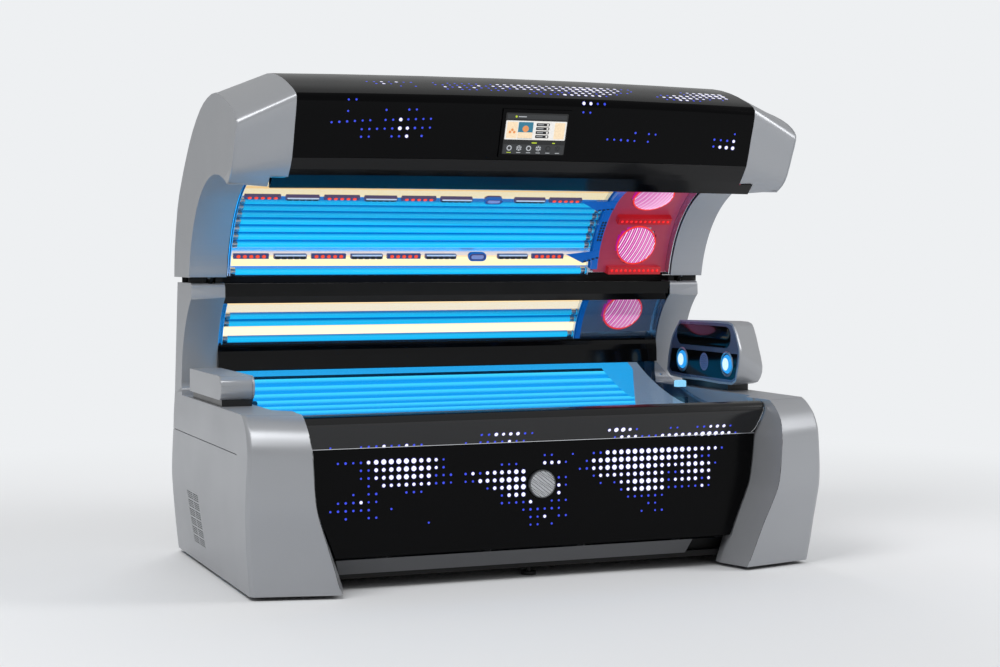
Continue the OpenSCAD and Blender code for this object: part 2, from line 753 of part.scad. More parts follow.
nozzle_ys = [pod_y - 225, pod_y - 15, pod_y + 195];
nozzle_z = pod_z + 118;
nozzle_x = head_x0 + 20;
trunnion_r = 3;
module head_pod_face() {
    color([0.12, 0.13, 0.16]) difference() {
        union() {
            loft([pod_ring(head_outline, head_x0 + 2, 9.3), pod_ring(head_outline, head_x0 + 7, 9.3)]);
            for (i = [0, 2], s = [-1, 1]) translate([head_x0 + 6, nozzle_ys[i], nozzle_z + s * (nozzle_r + 6)])
                translate([0, -8, -4]) cube([22, 16, 8]);
        }
        for (i = [0, 2]) translate([nozzle_x, nozzle_ys[i], nozzle_z - nozzle_r - 20])
            cylinder(r = trunnion_r + run_gap, h = 2 * nozzle_r + 40, $fn = 32);
        x_cylinder(head_x0 - 5, head_x0 + 10, nozzle_ys[1], nozzle_z, nozzle_r - 4);
        for (i = [0, 2]) translate([nozzle_x, nozzle_ys[i], nozzle_z]) sphere(nozzle_r + seat, $fn = 96);
    }
}

module head_pod_slot() {
    slot_l = 440;
    slot_h = 76;
    z = pod_z + 236;
    color(black) along_x(head_x0 - 1, head_x0 + 2 - seat) union() {
        translate([pod_y - 5 - slot_l / 2 + slot_h / 2, z - slot_h / 2]) square([slot_l - slot_h, slot_h]);
        for (s = [-1, 1])
            translate([pod_y - 5 + s * (slot_l - slot_h) / 2, z]) circle(slot_h / 2, $fn = 64);
    }
}

module head_pod_speaker() {
    color([0.2, 0.2, 0.24]) {
        x_cylinder(head_x0 + 1, head_x0 + 20, nozzle_ys[1], nozzle_z, nozzle_r - 4 - seat);
        x_cylinder(head_x0 + 20, head_x0 + 50, nozzle_ys[1], nozzle_z, nozzle_r - 16);
    }
}

module head_pod_foot() {
    color(black) block(head_x0 + 30, head_x1 - 20, pod_y - 180, pod_y + 250, deck_z + seat, pod_z + 27.7);
}

// Eyeball nozzle on a short vertical trunnion
module air_nozzle(i) {
    ball = nozzle_r;
    color(lamp_blue) difference() {
        intersection() {
            translate([nozzle_x, nozzle_ys[i], nozzle_z]) sphere(ball, $fn = 96);
            block(head_x0 - 4, head_x0 + 48, nozzle_ys[i] - ball, nozzle_ys[i] + ball, nozzle_z - ball, nozzle_z + ball);
        }
        x_cylinder(head_x0 - 6, head_x0 + 60, nozzle_ys[i], nozzle_z, ball * 0.6);
    }
    for (s = [-1, 1]) translate([nozzle_x, nozzle_ys[i], nozzle_z + s * (ball + 2)])
        cylinder(r = trunnion_r, h = 14, center = true, $fn = 32);
    color(steel) for (a = [0:60:120])
        translate([head_x0 + 22, nozzle_ys[i], nozzle_z]) rotate([a, 0, 0])
            cube([16, 2, ball * 1.3], center = true);
}

module front_air_nozzle() {
    air_nozzle(0);
}

module rear_air_nozzle() {
    air_nozzle(2);
}

// Foot-end pod: a bullnosed silver bar on a black base

foot_x0 = -half_l + 22;
foot_x1 = -column_in - 26;
module foot_pod_profile(inset) {
    y0 = pod_y - 262;
    z0 = deck_z + 26;
    h = 93;
    r = h * 0.42;
    union() {
        translate([y0 + r, z0 + inset]) square([foot_pod_l - r - inset, h - 2 * inset]);
        translate([y0 + inset, z0 + r]) square([r, h - 2 * r]);
        for (z = [z0 + r, z0 + h - r]) translate([y0 + r, z]) circle(r - inset, $fn = 64);
    }
}

module foot_pod_shell() {
    color(silver) {
        difference() {
            along_x(foot_x0, foot_x1) foot_pod_profile(0);
            along_x(foot_x0 + 4, foot_x1 - 4) foot_pod_profile(4);
        }
        along_x(foot_x1, foot_x1 + 3) foot_pod_profile(3);
        along_x(foot_x1 + 3, foot_x1 + 10) foot_pod_profile(1);
    }
}

module foot_pod_base() {
    y0 = pod_y - 230;
    color(black) block(foot_x0 + 8, foot_x1 + 6, y0, y0 + foot_pod_l - 60, deck_z + seat, deck_z + 26 - seat);
}

// Cooling fans behind the side grilles

fan_r = 105;
fan_c = [(vent_rows[0] + vent_rows[1] + vent_rows[2] + vent_rows[3]) / 4, (vent_foot + vent_head) / 2];
fan_x = half_l - 60;
module fan_housing() {
    difference() {
        along_x(fan_x - 40, fan_x) translate(fan_c) square(2 * fan_r + 30, center = true);
        x_cylinder(fan_x - 41, fan_x + 1, fan_c[0], fan_c[1], fan_r + 4);
    }
    for (a = [45, 135])
        translate([fan_x - 38, fan_c[0], fan_c[1]]) rotate([a, 0, 0]) cube([4, 12, 2 * fan_r + 10], center = true);
    x_cylinder(fan_x - 40, fan_x - 30, fan_c[0], fan_c[1], 24);
    x_cylinder(fan_x - 31, fan_x - 4, fan_c[0], fan_c[1], 5);
    for (y = [fan_c[0] - 110, fan_c[0] + 90])
        block(post_x + 4, fan_x - 6, y, y + 20, level + box_w + seat, level + box_w + 6);
}

module fan_housings() {
    color(black) {
        fan_housing();
        mirror([1, 0, 0]) fan_housing();
    }
}

module fan_rotor() {
    blades = 7;
    difference() {
        union() {
            x_cylinder(fan_x - 28, fan_x - 6, fan_c[0], fan_c[1], 34);
            for (i = [0:blades - 1])
                translate([fan_x - 17, fan_c[0], fan_c[1]]) rotate([i * 360 / blades, 0, 0])
                    translate([0, 0, 30]) rotate([0, 0, 35]) translate([-1.5, -18, 0]) cube([3, 36, fan_r - 32]);
        }
        x_cylinder(fan_x - 29, fan_x - 3, fan_c[0], fan_c[1], 5 + run_gap);
    }
}

module left_fan_rotor() {
    color(steel) mirror([1, 0, 0]) fan_rotor();
}

module right_fan_rotor() {
    color(steel) fan_rotor();
}

// Front panel with its light board, hinge rod and turn knob

rod_r = 4;
knuckle_r = rod_r + 3.5;
panel_hinge_z = panel_z0 + 8;
panel_hinge_y = panel_y + panel_t + knuckle_r + 0.5;
function panel_half(z) = flank_x(z) - gap - 1;
module panel_outline(inset) {
    z1 = panel_z1 - gap - inset;
    z0 = panel_z0 - 2 + inset;
    n = 14;
    right = [for (i = [0:n]) let (z = z0 + (z1 - z0) * i / n) [panel_half(z) - inset, z]];
    polygon(concat(right, [for (p = reversed(right)) [-p[0], p[1]]]));
}

knob_z = (panel_z0 + panel_z1) / 2 + 40;
module front_panel() {
    color(black) difference() {
        union() {
            translate([0, panel_y + panel_t, 0]) rotate([90, 0, 0]) linear_extrude(panel_t) panel_outline(0);
            for (s = [-1, 1], x = [80, 320, 560]) {
                x_cylinder(s * x - 30, s * x + 30, panel_hinge_y, panel_hinge_z, knuckle_r);
                block(s * x - 30, s * x + 30, panel_y + panel_t - 1, panel_hinge_y, panel_hinge_z, panel_hinge_z + 6);
            }
        }
        for (s = [-1, 1], x = [80, 320, 560])
            x_cylinder(s * x - 31, s * x + 31, panel_hinge_y, panel_hinge_z, rod_r + run_gap);
        y_cylinder(panel_y - 1, panel_y + panel_t + 1, 0, knob_z, 8 + run_gap);
    }
}

module panel_led_board() {
    color([0.08, 0.1, 0.1]) difference() {
        translate([0, panel_y + panel_t + 6, 0]) rotate([90, 0, 0])
            linear_extrude(6 - seat) panel_outline(34);
        y_cylinder(panel_y, panel_y + 40, 0, knob_z, 22);
    }
}

module panel_hinge_rod() {
    color(steel) for (x = [-620, -200, 200, 620]) {
        x_cylinder(x - 10, x + 10, panel_hinge_y, panel_hinge_z, knuckle_r - 0.5);
        along_x(x - 3, x + 3) polygon([
            [panel_hinge_y, panel_hinge_z + 5], [panel_hinge_y - 4, panel_hinge_z - 5],
            [frame_front - seat, level + 6], [frame_front - seat, level + box_w]
        ]);
    }
    color(steel) x_cylinder(-640, 640, panel_hinge_y, panel_hinge_z, rod_r);
}

// Round knob with slanting ribs, on a spindle through the panel
module panel_knob() {
    r = knob_d / 2;
    ribs = 11;
    color(pale) {
        y_cylinder(panel_y - 14, panel_y - seat, 0, knob_z, r);
        intersection() {
            y_cylinder(panel_y - 20, panel_y - 13, 0, knob_z, r - 5);
            translate([0, panel_y - 13, knob_z]) rotate([0, 35, 0]) for (i = [0:ribs - 1])
                translate([-r, -4, -r + (i + 0.5) * 2 * r / ribs - 2]) cube([2 * r, 5, 4]);
        }
        y_cylinder(panel_y - 5, panel_y + panel_t + 5, 0, knob_z, 8);
        y_cylinder(panel_y + panel_t + seat, panel_y + panel_t + 5, 0, knob_z, 14);
    }
}

// Canopy: lofted end caps, crowned black shells, steel frame and lamps

tip_a = 114.5;
tip = polar(tunnel_r + wall / 2, tip_a);
lip_tip = polar(tunnel_r, 118);
tun_c = [tun_y, tunnel_z];
// Side profile at the outer face, from the back of the seam over the top to the tip
cap_lip = 0.6;
outer_knots = [
    [tunnel_back - cap_lip - 0.2, seam_z - tunnel_z], [762, 203], [700, 375], [620, 480], [513, 585], [397, 678],
    [251, 757], [118, 794], [-27, 803], [-179, 766], [-287, 725], [-346, 686], [-354, 655],
    [-324, 590], [-284, 510], [-248, 472], tip
];
// The same profile where the cap meets the black shell
inner_knots = [
    [tunnel_back, seam_z - tunnel_z], [765, 215], [715, 410], [640, 540], [535, 660], [415, 760],
    [262, 843], [110, 886], [-33, 885], [-185, 855], [-300, 818], [-385, 782], [-398, 745],
    [-366, 650], [-330, 545], [-277, 480], lip_tip
];
knot_steps = 2;
cap_x0 = half_l - cap_w - 20;
cap_x1 = half_l - 16;
band_x = column_in - 3;

function at(p, x) = [for (q = p) [x, q[0] + tun_y, q[1] + tunnel_z]];

// Flat side of the cap, a hair larger than the wall that it closes
module cap_side() {
    rim = offset_path(curve(outer_knots, knot_steps), -cap_lip);
    foot_z = seam_z - tunnel_z - 1;
    along_x(cap_x1 - wall, cap_x1) difference() {
        translate(tun_c) polygon(concat([[rim[0][0], foot_z]], rim, [[tunnel_r * 0.9, foot_z]]));
        translate(tun_c) circle(tunnel_r, $fn = 128);
    }
}

module canopy_cap() {
    outer = curve(outer_knots, knot_steps);
    inner = curve(inner_knots, knot_steps);
    notch_z = 474;
    cap_side();
    along_x(band_x, cap_x1 - wall)
        sector(tun_c, tunnel_r, tunnel_r + wall, asin((seam_z - tunnel_z) / tunnel_r), tip_a + 0.7);
    difference() {
        skin([at(inner, cap_x0), at(outer, cap_x1 - wall)],
            [at(offset_path(inner, wall), cap_x0), at(offset_path(outer, wall), cap_x1 - wall)]);
        block(cap_x0 - 10, band_x + 6, front_y, tun_y, tunnel_z, tunnel_z + notch_z);
    }
}

module left_canopy_cap() {
    color(silver) mirror([1, 0, 0]) canopy_cap();
}

module right_canopy_cap() {
    color(silver) canopy_cap();
}

// Thin crowned strip of the shell between two places along the inner profile
shell_x = cap_x0 - rail_gap;
stations = [-1, -0.72, -0.36, 0, 0.36, 0.72, 1];
function crowned(p, s) = let (k = crown * (1 - s * s))
    [for (q = p) q + k * [min(q[0], 0) / 400, max(q[1] - 87, 0) / 800]];
module strip(path, inner, half) {
    skin([for (s = stations) at(crowned(path, s), s * half)],
        [for (s = stations) at(crowned(inner, s), s * half)]);
}

profile = curve(inner_knots, knot_steps);
inner_profile = offset_path(profile, shell_wall);
shoulder = 22;
glass_end = 28;
function part_of(p, i0, i1) = [for (i = [i0:i1]) p[i]];
module canopy_top_shell() {
    color(black) strip(part_of(profile, 0, shoulder), part_of(inner_profile, 0, shoulder), shell_x);
}

module canopy_front_glass() {
    color(black) translate([0, 0, -rail_gap])
        strip(part_of(profile, shoulder, glass_end), part_of(inner_profile, shoulder, glass_end), shell_x);
}

// The lip's strip and its return under the lamps
module canopy_lip() {
    top = profile[glass_end] + [1, -4 * rail_gap];
    line = curve([top, [-277, 480], lip_tip], 3);
    narrow = cap_x0 - rail_gap;
    color(black) difference() {
        loft([for (s = stations) at(concat(
            crowned(line, s), [lip_tip + [14, 4], lip_tip + [6, 34], [-262, 512], top + [22, 8]]),
            s * (band_x - rail_gap))]);
        for (s = [-1, 1]) translate([s * (narrow + 100) - 100, tun_y - 420, tunnel_z + 471]) cube([200, 300, 300]);
    }
}

// The screen lies on the front glass, between the knots above and below it
screen_top = crowned([inner_knots[12]], 0)[0];
screen_foot = crowned([inner_knots[14]], 0)[0];
screen_dir = unit(screen_top - screen_foot);
module control_screen() {
    t = 5;
    bezel = 12;
    c = tun_c + (screen_top + screen_foot) / 2 + 2.5 * [-screen_dir[1], screen_dir[0]];
    color(black) translate([0, c[0], c[1]]) rotate([atan2(-screen_dir[0], screen_dir[1]), 0, 0])
        translate([-screen_w / 2 - bezel, -t, -screen_h / 2 - bezel])
            cube([screen_w + 2 * bezel, t, screen_h + 2 * bezel]);
}

module arc_tube(a, x0, x1) {
    p = tun_c + polar(tube_circle, a);
    x_cylinder(x0, x1, p[0], p[1], tube_r);
}

lamp_a0 = 12.2;
rail_a = [21, 58.5];
main_tubes = 7;
module canopy_tubes() {
    color(lamp_blue) {
        arc_tube(lamp_a0, lamp_bed_x0, lamp_bed_x1);
        for (i = [0:main_tubes - 1])
            arc_tube(25.5 + i * tube_step, lamp_bed_x0, lamp_bed_x1);
        for (i = [0:5])
            arc_tube(73.8 + i * tube_step * 1.2, lamp_bed_x0, lamp_bed_x1);
    }
}

module canopy_light_bars() {
    color(warm) along_x(lamp_bed_x0, lamp_bed_x1) for (a = [[14.9, 19.4], [54.2, 60], [62, 67.8]])
        sector(tun_c, tube_circle - 8, tube_circle + 8, a[0], a[1]);
}

pane_a0 = 10.6;
pane_a1 = 111;
canopy_pane_r = tunnel_r + 4 + pane_wall;
module canopy_pane() {
    color([0.5, 0.8, 0.95, 0.35]) along_x(lamp_bed_x0 - 4, lamp_bed_x1 + 6)
        sector(tun_c, tunnel_r + 4, canopy_pane_r, pane_a0, pane_a1);
}

module canopy_reflector() {
    color(pale) {
        along_x(-band_x + 5, band_x - 5) sector(tun_c, reflector_r, reflector_r + 3, pane_a0, pane_a1);
        for (x = [-band_x + 5, lamp_bed_x0 - end_plate - seat, lamp_bed_x1 + seat, band_x - 5 - end_plate])
            along_x(x, x + end_plate)
                sector(tun_c, canopy_pane_r + seat, reflector_r + 1, pane_a0, pane_a1);
    }
}

// Arms from the hinge eyes along the back of the tunnel, joined by cross tubes
module canopy_arm() {
    arm_a0 = asin((pivot_z - tunnel_z + 14.7) / (tunnel_r + 40));
    difference() {
        along_x(hinge_x + run_gap * 4, hinge_x + run_gap * 4 + plate_t - 4) {
            sector(tun_c, tunnel_r + wall + seat, reflector_r + 30, arm_a0, 100);
            translate([pivot_y, pivot_z]) circle(eye_r - 1, $fn = 64);
        }
        x_cylinder(hinge_x - 1, hinge_x + plate_t + 1, pivot_y, pivot_z, pin_r + run_gap);
    }
}

module canopy_frame() {
    color(steel) {
        canopy_arm();
        mirror([1, 0, 0]) canopy_arm();
        for (a = [24, 52, 86]) {
            p = tun_c + polar(reflector_r + 19 + seat, a);
            x_cylinder(-hinge_x - 6, hinge_x + 6, p[0], p[1], 16);
        }
    }
}

// Strips of lights and mist nozzles on the two rails of the canopy
strip_x0 = -930;
strip_pitch = 167;
led_spots = [0, 2, 4, 8];
nozzle_spots = [1, 3, 5, 7];
oval_spot = 6;
module strip_body(a, x, l, h, lift) {
    p = tun_c + polar(tunnel_r + 4 - seat, a);
    translate([x, p[0], p[1]]) rotate([a - 90, 0, 0])
        translate([-l / 2, -h / 2, -lift]) cube([l, h, lift]);
}

module accessory_strips() {
    for (a = rail_a) {
        color([0.4, 0.35, 0.5]) for (i = led_spots) strip_body(a, strip_x0 + i * strip_pitch, 150, 20, 14);
        color(black) for (i = nozzle_spots) strip_body(a, strip_x0 + i * strip_pitch, 140, 18, 18);
        color([0.55, 0.56, 0.72]) {
            p = tun_c + polar(tunnel_r + 4 - seat, a);
            translate([strip_x0 + oval_spot * strip_pitch, p[0], p[1]]) rotate([a - 90, 0, 0]) for (s = [-1, 1])
                translate([s * 22, 0, -20]) cylinder(r = 17, h = 20, $fn = 48);
            strip_body(a, strip_x0 + oval_spot * strip_pitch, 44, 34, 20);
        }
    }
}

module canopy_divider() {
    color([0.05, 0.35, 0.65]) along_x(lamp_bed_x1 + 8, face_x0 - 2)
        sector(tun_c, tunnel_r - 14, reflector_r - seat, 14, pane_a1);
}

module canopy_facial_lamps() {
    color(lamp_pink) for (a = [25.2, 55.6])
        facial_lamp(tun_c, tunnel_r + 18, reflector_r, a, face_x);
}

module canopy_led_bars() {
    color(led_red) for (a = [12.4, 40.4, 71]) {
        p = tun_c + polar(tunnel_r + 14, a);
        depth = sqrt(reflector_r * reflector_r - 17 * 17) - seat - tunnel_r - 14;
        translate([face_x, p[0], p[1]]) rotate([a - 90, 0, 0])
            translate([-130, -17, 0]) cube([260, 34, depth]);
    }
}

base_frame();
levelling_feet();
left_foot_casing();
right_foot_casing();
left_column();
right_column();
left_vent_grille();
right_vent_grille();
kick_strip();
front_rail();
rail_trim();
bottom_tray();
back_panel();
mains_inlet();
ballast_tray();
bench_reflector();
bench_tubes_set();
bench_lampholders();
lying_pane();
pane_studs();
side_top_rail();
side_lower_rail();
side_reflector();
side_tubes();
side_light_bars();
side_pane();
side_facial_lamp();
side_divider();
head_pod_shell();
head_pod_face();
head_pod_slot();
head_pod_speaker();
head_pod_foot();
foot_pod_shell();
foot_pod_base();
hinge_pins();
fan_housings();
left_fan_rotor();
right_fan_rotor();
front_panel();
panel_led_board();
panel_hinge_rod();
panel_knob();
front_air_nozzle();
rear_air_nozzle();
canopy_frame();
left_canopy_cap();
right_canopy_cap();
canopy_top_shell();
canopy_front_glass();
canopy_lip();
control_screen();
canopy_reflector();
canopy_tubes();
canopy_light_bars();
canopy_pane();
accessory_strips();
canopy_divider();
canopy_facial_lamps();
canopy_led_bars();
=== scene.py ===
# %% [markdown]
# A lie-down tanning bed. Two moulded silver end casings carry a curved acrylic bench
# over blue tubes, a lamp wall stands behind it, and a clamshell canopy of lamps is hinged
# above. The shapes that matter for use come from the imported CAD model. This script loads
# that model as a fixed frame and then gives it finishes, lights and small fittings.

# %% Load the frame
import math
import random

import bmesh
import bpy
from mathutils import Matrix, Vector
from mathutils.bvhtree import BVHTree


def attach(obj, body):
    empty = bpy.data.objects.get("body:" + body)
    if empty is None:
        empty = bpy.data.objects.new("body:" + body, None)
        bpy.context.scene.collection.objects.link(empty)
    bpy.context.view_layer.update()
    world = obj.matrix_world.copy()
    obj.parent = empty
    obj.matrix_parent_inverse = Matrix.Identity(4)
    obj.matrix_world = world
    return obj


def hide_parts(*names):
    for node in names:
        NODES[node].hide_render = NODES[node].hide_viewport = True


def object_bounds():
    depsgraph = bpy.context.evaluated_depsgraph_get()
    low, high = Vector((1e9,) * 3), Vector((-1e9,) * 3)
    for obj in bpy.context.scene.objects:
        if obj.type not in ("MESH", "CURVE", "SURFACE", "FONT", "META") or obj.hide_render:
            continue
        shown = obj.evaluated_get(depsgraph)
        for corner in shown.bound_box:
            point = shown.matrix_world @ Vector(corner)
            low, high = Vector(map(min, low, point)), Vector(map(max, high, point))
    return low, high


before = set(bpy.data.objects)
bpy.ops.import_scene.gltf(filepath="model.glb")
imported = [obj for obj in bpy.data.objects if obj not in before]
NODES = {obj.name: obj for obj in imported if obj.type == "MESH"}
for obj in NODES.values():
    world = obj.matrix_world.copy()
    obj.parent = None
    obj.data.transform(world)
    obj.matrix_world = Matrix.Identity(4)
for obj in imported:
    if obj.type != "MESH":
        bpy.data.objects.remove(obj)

cad_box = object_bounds()
scene = bpy.context.scene
HEADWARD, BACKWARD, UPWARD = Vector((1, 0, 0)), Vector((0, 1, 0)), Vector((0, 0, 1))

# %% [markdown]
# Colours are written as sRGB hex, the way a paint chart or a screen shows them, but a
# shader works in linear light, so one function turns each into linear numbers. Another
# small function adds a shader node and sets or links its sockets, which keeps the recipe
# of each finish short enough to read.

# %% Helpers for colours and shader nodes
FINISHES = {}


def linear(hex_colour):
    """Turns a colour such as #9b9da0 to linear red, green, blue and alpha."""
    parts = [int(hex_colour[i:i + 2], 16) / 255 for i in (1, 3, 5)]
    return [c / 12.92 if c <= 0.04045 else ((c + 0.055) / 1.055) ** 2.4 for c in parts] + [1.0]


def shaded(hex_colour, share):
    """The same colour, darker or lighter by a share of its linear light."""
    return [min(c * share, 1) for c in linear(hex_colour)[:3]] + [1.0]


def put(tree, kind, settings=None, **sockets):
    """Adds one node. A socket is named, or numbered as i6, and takes a value or an output."""
    made = tree.nodes.new(kind)
    for key, value in (settings or {}).items():
        setattr(made, key, value)
    for key, value in sockets.items():
        numbered = key[0] == "i" and key[1:].isdigit()
        socket = made.inputs[int(key[1:]) if numbered else key.replace("_", " ")]
        if isinstance(value, bpy.types.NodeSocket):
            tree.links.new(value, socket)
        else:
            socket.default_value = value
    return made


def new_finish(name):
    """Starts an empty finish and gives its node tree."""
    made = bpy.data.materials.new(name)
    made.use_nodes = True
    made.node_tree.nodes.clear()
    FINISHES[name] = made
    return made.node_tree


def show(name, data):
    """Puts a new object with that mesh, lamp or lens into the scene."""
    made = bpy.data.objects.new(name, data)
    scene.collection.objects.link(made)
    return made


print("half grey on a screen is", round(linear("#808080")[0], 3), "in linear light")

# %% [markdown]
# Where the lamps sit is needed by several finishes and pieces. All lamps of the canopy lie
# on arcs round one line that runs along the bed, the middle of the tunnel, and the lamp
# wall and the bench have such a line each. The numbers repeat those of the CAD source, in
# metres and degrees. An angle of 0 looks to the rear, and 90 looks up.

# %% Lines and places of the lamps
TUNNEL = (-0.076, 1.090)       # y and z of the line of the canopy
SIDE_LINE = (0.193, 0.788)     # the same for the lamp wall
BENCH_LINE = (-0.128, 2.124)   # and for the bench
BED_X = (-1.010, 0.612)        # where the body tubes start and end
FACE_X = 0.850                 # the middle of the facial lamps
FACE_TURNS = (25.2, 55.6)      # the two facial lamps of the canopy
WALL_FACE_TURN = 32.4          # the one of the lamp wall


def on_arc(line, radius, degrees, x):
    """A point at that radius and angle round a line that runs along the bed."""
    a = math.radians(degrees)
    return Vector((x, line[0] + radius * math.cos(a), line[1] + radius * math.sin(a)))


def arc_axes(degrees):
    """Inward, along the bed, and round the arc, at that angle."""
    a = math.radians(degrees)
    inward = Vector((0, -math.cos(a), -math.sin(a)))
    return inward, HEADWARD, Vector((0, -math.sin(a), math.cos(a)))


print("body tubes from x", BED_X[0], "to", BED_X[1], "facial lamps at x", FACE_X)

# %% [markdown]
# The photograph was taken from the front and the foot end, a little above the bench. The
# camera was solved from the straight edges of the casings and the canopy: a long lens, so
# there is little perspective. Its place and turn are in the frame of the model.

# %% Camera
PHOTO_WIDTH = 1000
FOCAL_PIXELS = 1866.0
CAMERA_PLACE = (-2.813, -7.212, 1.269)
CAMERA_TURN = 21.53
CAMERA_DIP = 2.41

lens = bpy.data.cameras.new("photo_camera")
lens.sensor_fit = "HORIZONTAL"
lens.sensor_width = 36.0
lens.lens = lens.sensor_width * FOCAL_PIXELS / PHOTO_WIDTH
camera = show("photo_camera", lens)
camera.location = CAMERA_PLACE
camera.rotation_euler = (math.radians(90 - CAMERA_DIP), 0, math.radians(-CAMERA_TURN))
scene.camera = camera
print("lens", round(lens.lens, 1), "mm")

# %% [markdown]
# A product like this is shown in a studio, on a pale sweep: a floor that runs up into the
# background without an edge. One flat sheet does that here. Near the bed it is matt paint
# that takes a shadow, and from 2 m on it fades into the same plain light as the backdrop.

# %% Pale floor
FLOOR_REACH = 30
FADE_START, FADE_END = 2.0, 5.5
BACKDROP = linear("#eef0f2")

floor_mesh = bpy.data.meshes.new("floor")
floor_mesh.from_pydata([(x * FLOOR_REACH, y * FLOOR_REACH, 0)
                        for x, y in ((-1, -1), (1, -1), (1, 1), (-1, 1))], [], [(0, 1, 2, 3)])
floor = show("floor", floor_mesh)
tree = new_finish("pale_studio_floor")
floor_paint = put(tree, "ShaderNodeBsdfPrincipled", Base_Color=linear("#e9eaec"), Roughness=0.8)
sweep = put(tree, "ShaderNodeEmission", Color=BACKDROP, Strength=1.0)
spot = put(tree, "ShaderNodeTexCoord").outputs["Object"]
away = put(tree, "ShaderNodeVectorMath", {"operation": "LENGTH"}, i0=spot)
fade = put(tree, "ShaderNodeMapRange", {"interpolation_type": "SMOOTHSTEP"},
           Value=away.outputs["Value"], i1=FADE_START, i2=FADE_END, i3=0.0, i4=1.0)
blended = put(tree, "ShaderNodeMixShader", i0=fade.outputs[0], i1=floor_paint.outputs[0],
              i2=sweep.outputs[0])
put(tree, "ShaderNodeOutputMaterial", Surface=blended.outputs[0])
floor.data.materials.append(FINISHES["pale_studio_floor"])
print("floor reaches", FLOOR_REACH, "m each way")

# %% [markdown]
# The world has two jobs. It is the backdrop, which the camera sees directly and through the
# clear panes at a strength of 1, and it is an even light on the bed, at about half of that.
# Glossy rays aren't in the mask, so metal and gloss mirror the dimmer even light and not
# the backdrop. That is an omission and not a choice, and the paints were matched with it.

# %% Pale world
world = bpy.data.worlds.new("pale_studio")
scene.world = world
world.use_nodes = True
tree = world.node_tree
tree.nodes.clear()
path = put(tree, "ShaderNodeLightPath")
seen = put(tree, "ShaderNodeMath", {"operation": "MAXIMUM"}, i0=path.outputs["Is Camera Ray"],
           i1=path.outputs["Is Transmission Ray"])
even_light = put(tree, "ShaderNodeBackground", Color=linear("#eceded"), Strength=0.52)
backdrop = put(tree, "ShaderNodeBackground", Color=BACKDROP, Strength=1.0)
mixed = put(tree, "ShaderNodeMixShader", i0=seen.outputs[0], i1=even_light.outputs[0],
            i2=backdrop.outputs[0])
put(tree, "ShaderNodeOutputWorld", Surface=mixed.outputs[0])
scene.view_settings.view_transform = "Standard"
print("even light", even_light.inputs["Strength"].default_value)

# %% [markdown]
# Three broad soft lamps model the forms: one high on the left, a weaker one on the right
# and a weak one behind, which the gloss doesn't mirror. The lamps of the bed glow only
# faintly against them, so the studio light is kept low enough for a painted colour to
# come out about as it is written, and the blue of the tubes still reads.

# %% Soft lights
def soft_light(name, place, aim, size, power, mirrored=True):
    """A rectangular lamp behind a diffuser, aimed at a point; gloss may leave it out."""
    lamp = bpy.data.lights.new(name, "AREA")
    lamp.shape = "RECTANGLE"
    lamp.size, lamp.size_y = size
    lamp.energy = power
    made = show(name, lamp)
    made.location = place
    made.visible_glossy = mirrored
    made.rotation_euler = (Vector(aim) - Vector(place)).to_track_quat("-Z", "Y").to_euler()
    print(name, power, "W")


soft_light("key_light", (-4.0, -3.0, 6.0), (0, 0, 0.8), (3.0, 3.0), 230)
soft_light("right_light", (5.5, -3.0, 4.0), (0, 0, 0.9), (2.0, 3.5), 170)
soft_light("back_light", (0.5, 5.5, 4.5), (0, 0, 1.0), (4.0, 2.5), 140, mirrored=False)

# %% [markdown]
# The casings, columns, pods and end caps are thick vacuum-formed ABS, sprayed with a satin
# silver lacquer. What the eye gets is a grey that turns from dark to nearly white over a
# curve, much softer than bare metal, with a very fine sparkle of flakes close up. So the
# base is half metallic and fairly rough, noise at flake size moves its colour a little,
# and a faint swell of a few millimetres stands for the orange peel of the spray.
#
# The scale of a noise is in cells per metre, so a grain of 4 mm is a scale of 250.

# %% Satin silver lacquer
FLAKE_SCALE = 900.0    # 1.1 mm; real flakes are 0.05 mm and wouldn't show, so they are coarser
DRIFT_SCALE = 3.0      # 330 mm, the slow drift of a coat that was sprayed by hand
PEEL_SCALE = 260.0     # 3.8 mm, the orange peel


def flake_lacquer(name, paint, metallic, roughness):
    """Sprayed lacquer with metal flakes in it."""
    tree = new_finish(name)
    place = put(tree, "ShaderNodeTexCoord").outputs["Object"]
    flakes = put(tree, "ShaderNodeTexNoise", Vector=place, Scale=FLAKE_SCALE, Detail=2.0)
    drift = put(tree, "ShaderNodeTexNoise", Vector=place, Scale=DRIFT_SCALE, Detail=3.0)
    tone = put(tree, "ShaderNodeMix", {"data_type": "RGBA"}, i0=flakes.outputs[0],
               i6=shaded(paint, 0.93), i7=shaded(paint, 1.07))
    wear = put(tree, "ShaderNodeMapRange", Value=drift.outputs[0], i1=0.3, i2=0.7,
               i3=roughness - 0.03, i4=roughness + 0.04)
    peel = put(tree, "ShaderNodeTexNoise", Vector=place, Scale=PEEL_SCALE, Detail=1.0)
    swell = put(tree, "ShaderNodeBump", Height=peel.outputs[0], Strength=0.05, Distance=0.0004)
    base = put(tree, "ShaderNodeBsdfPrincipled", Base_Color=tone.outputs[2], Metallic=metallic,
               Roughness=wear.outputs[0], Normal=swell.outputs[0])
    put(tree, "ShaderNodeOutputMaterial", Surface=base.outputs[0])


flake_lacquer("satin_silver_lacquer", "#a3a5a9", 0.45, 0.36)
flake_lacquer("smoked_blue_lacquer", "#6a6e82", 0.45, 0.26)
flake_lacquer("lilac_speaker_lacquer", "#7f81a4", 0.3, 0.3)
print("finishes", len(FINISHES))

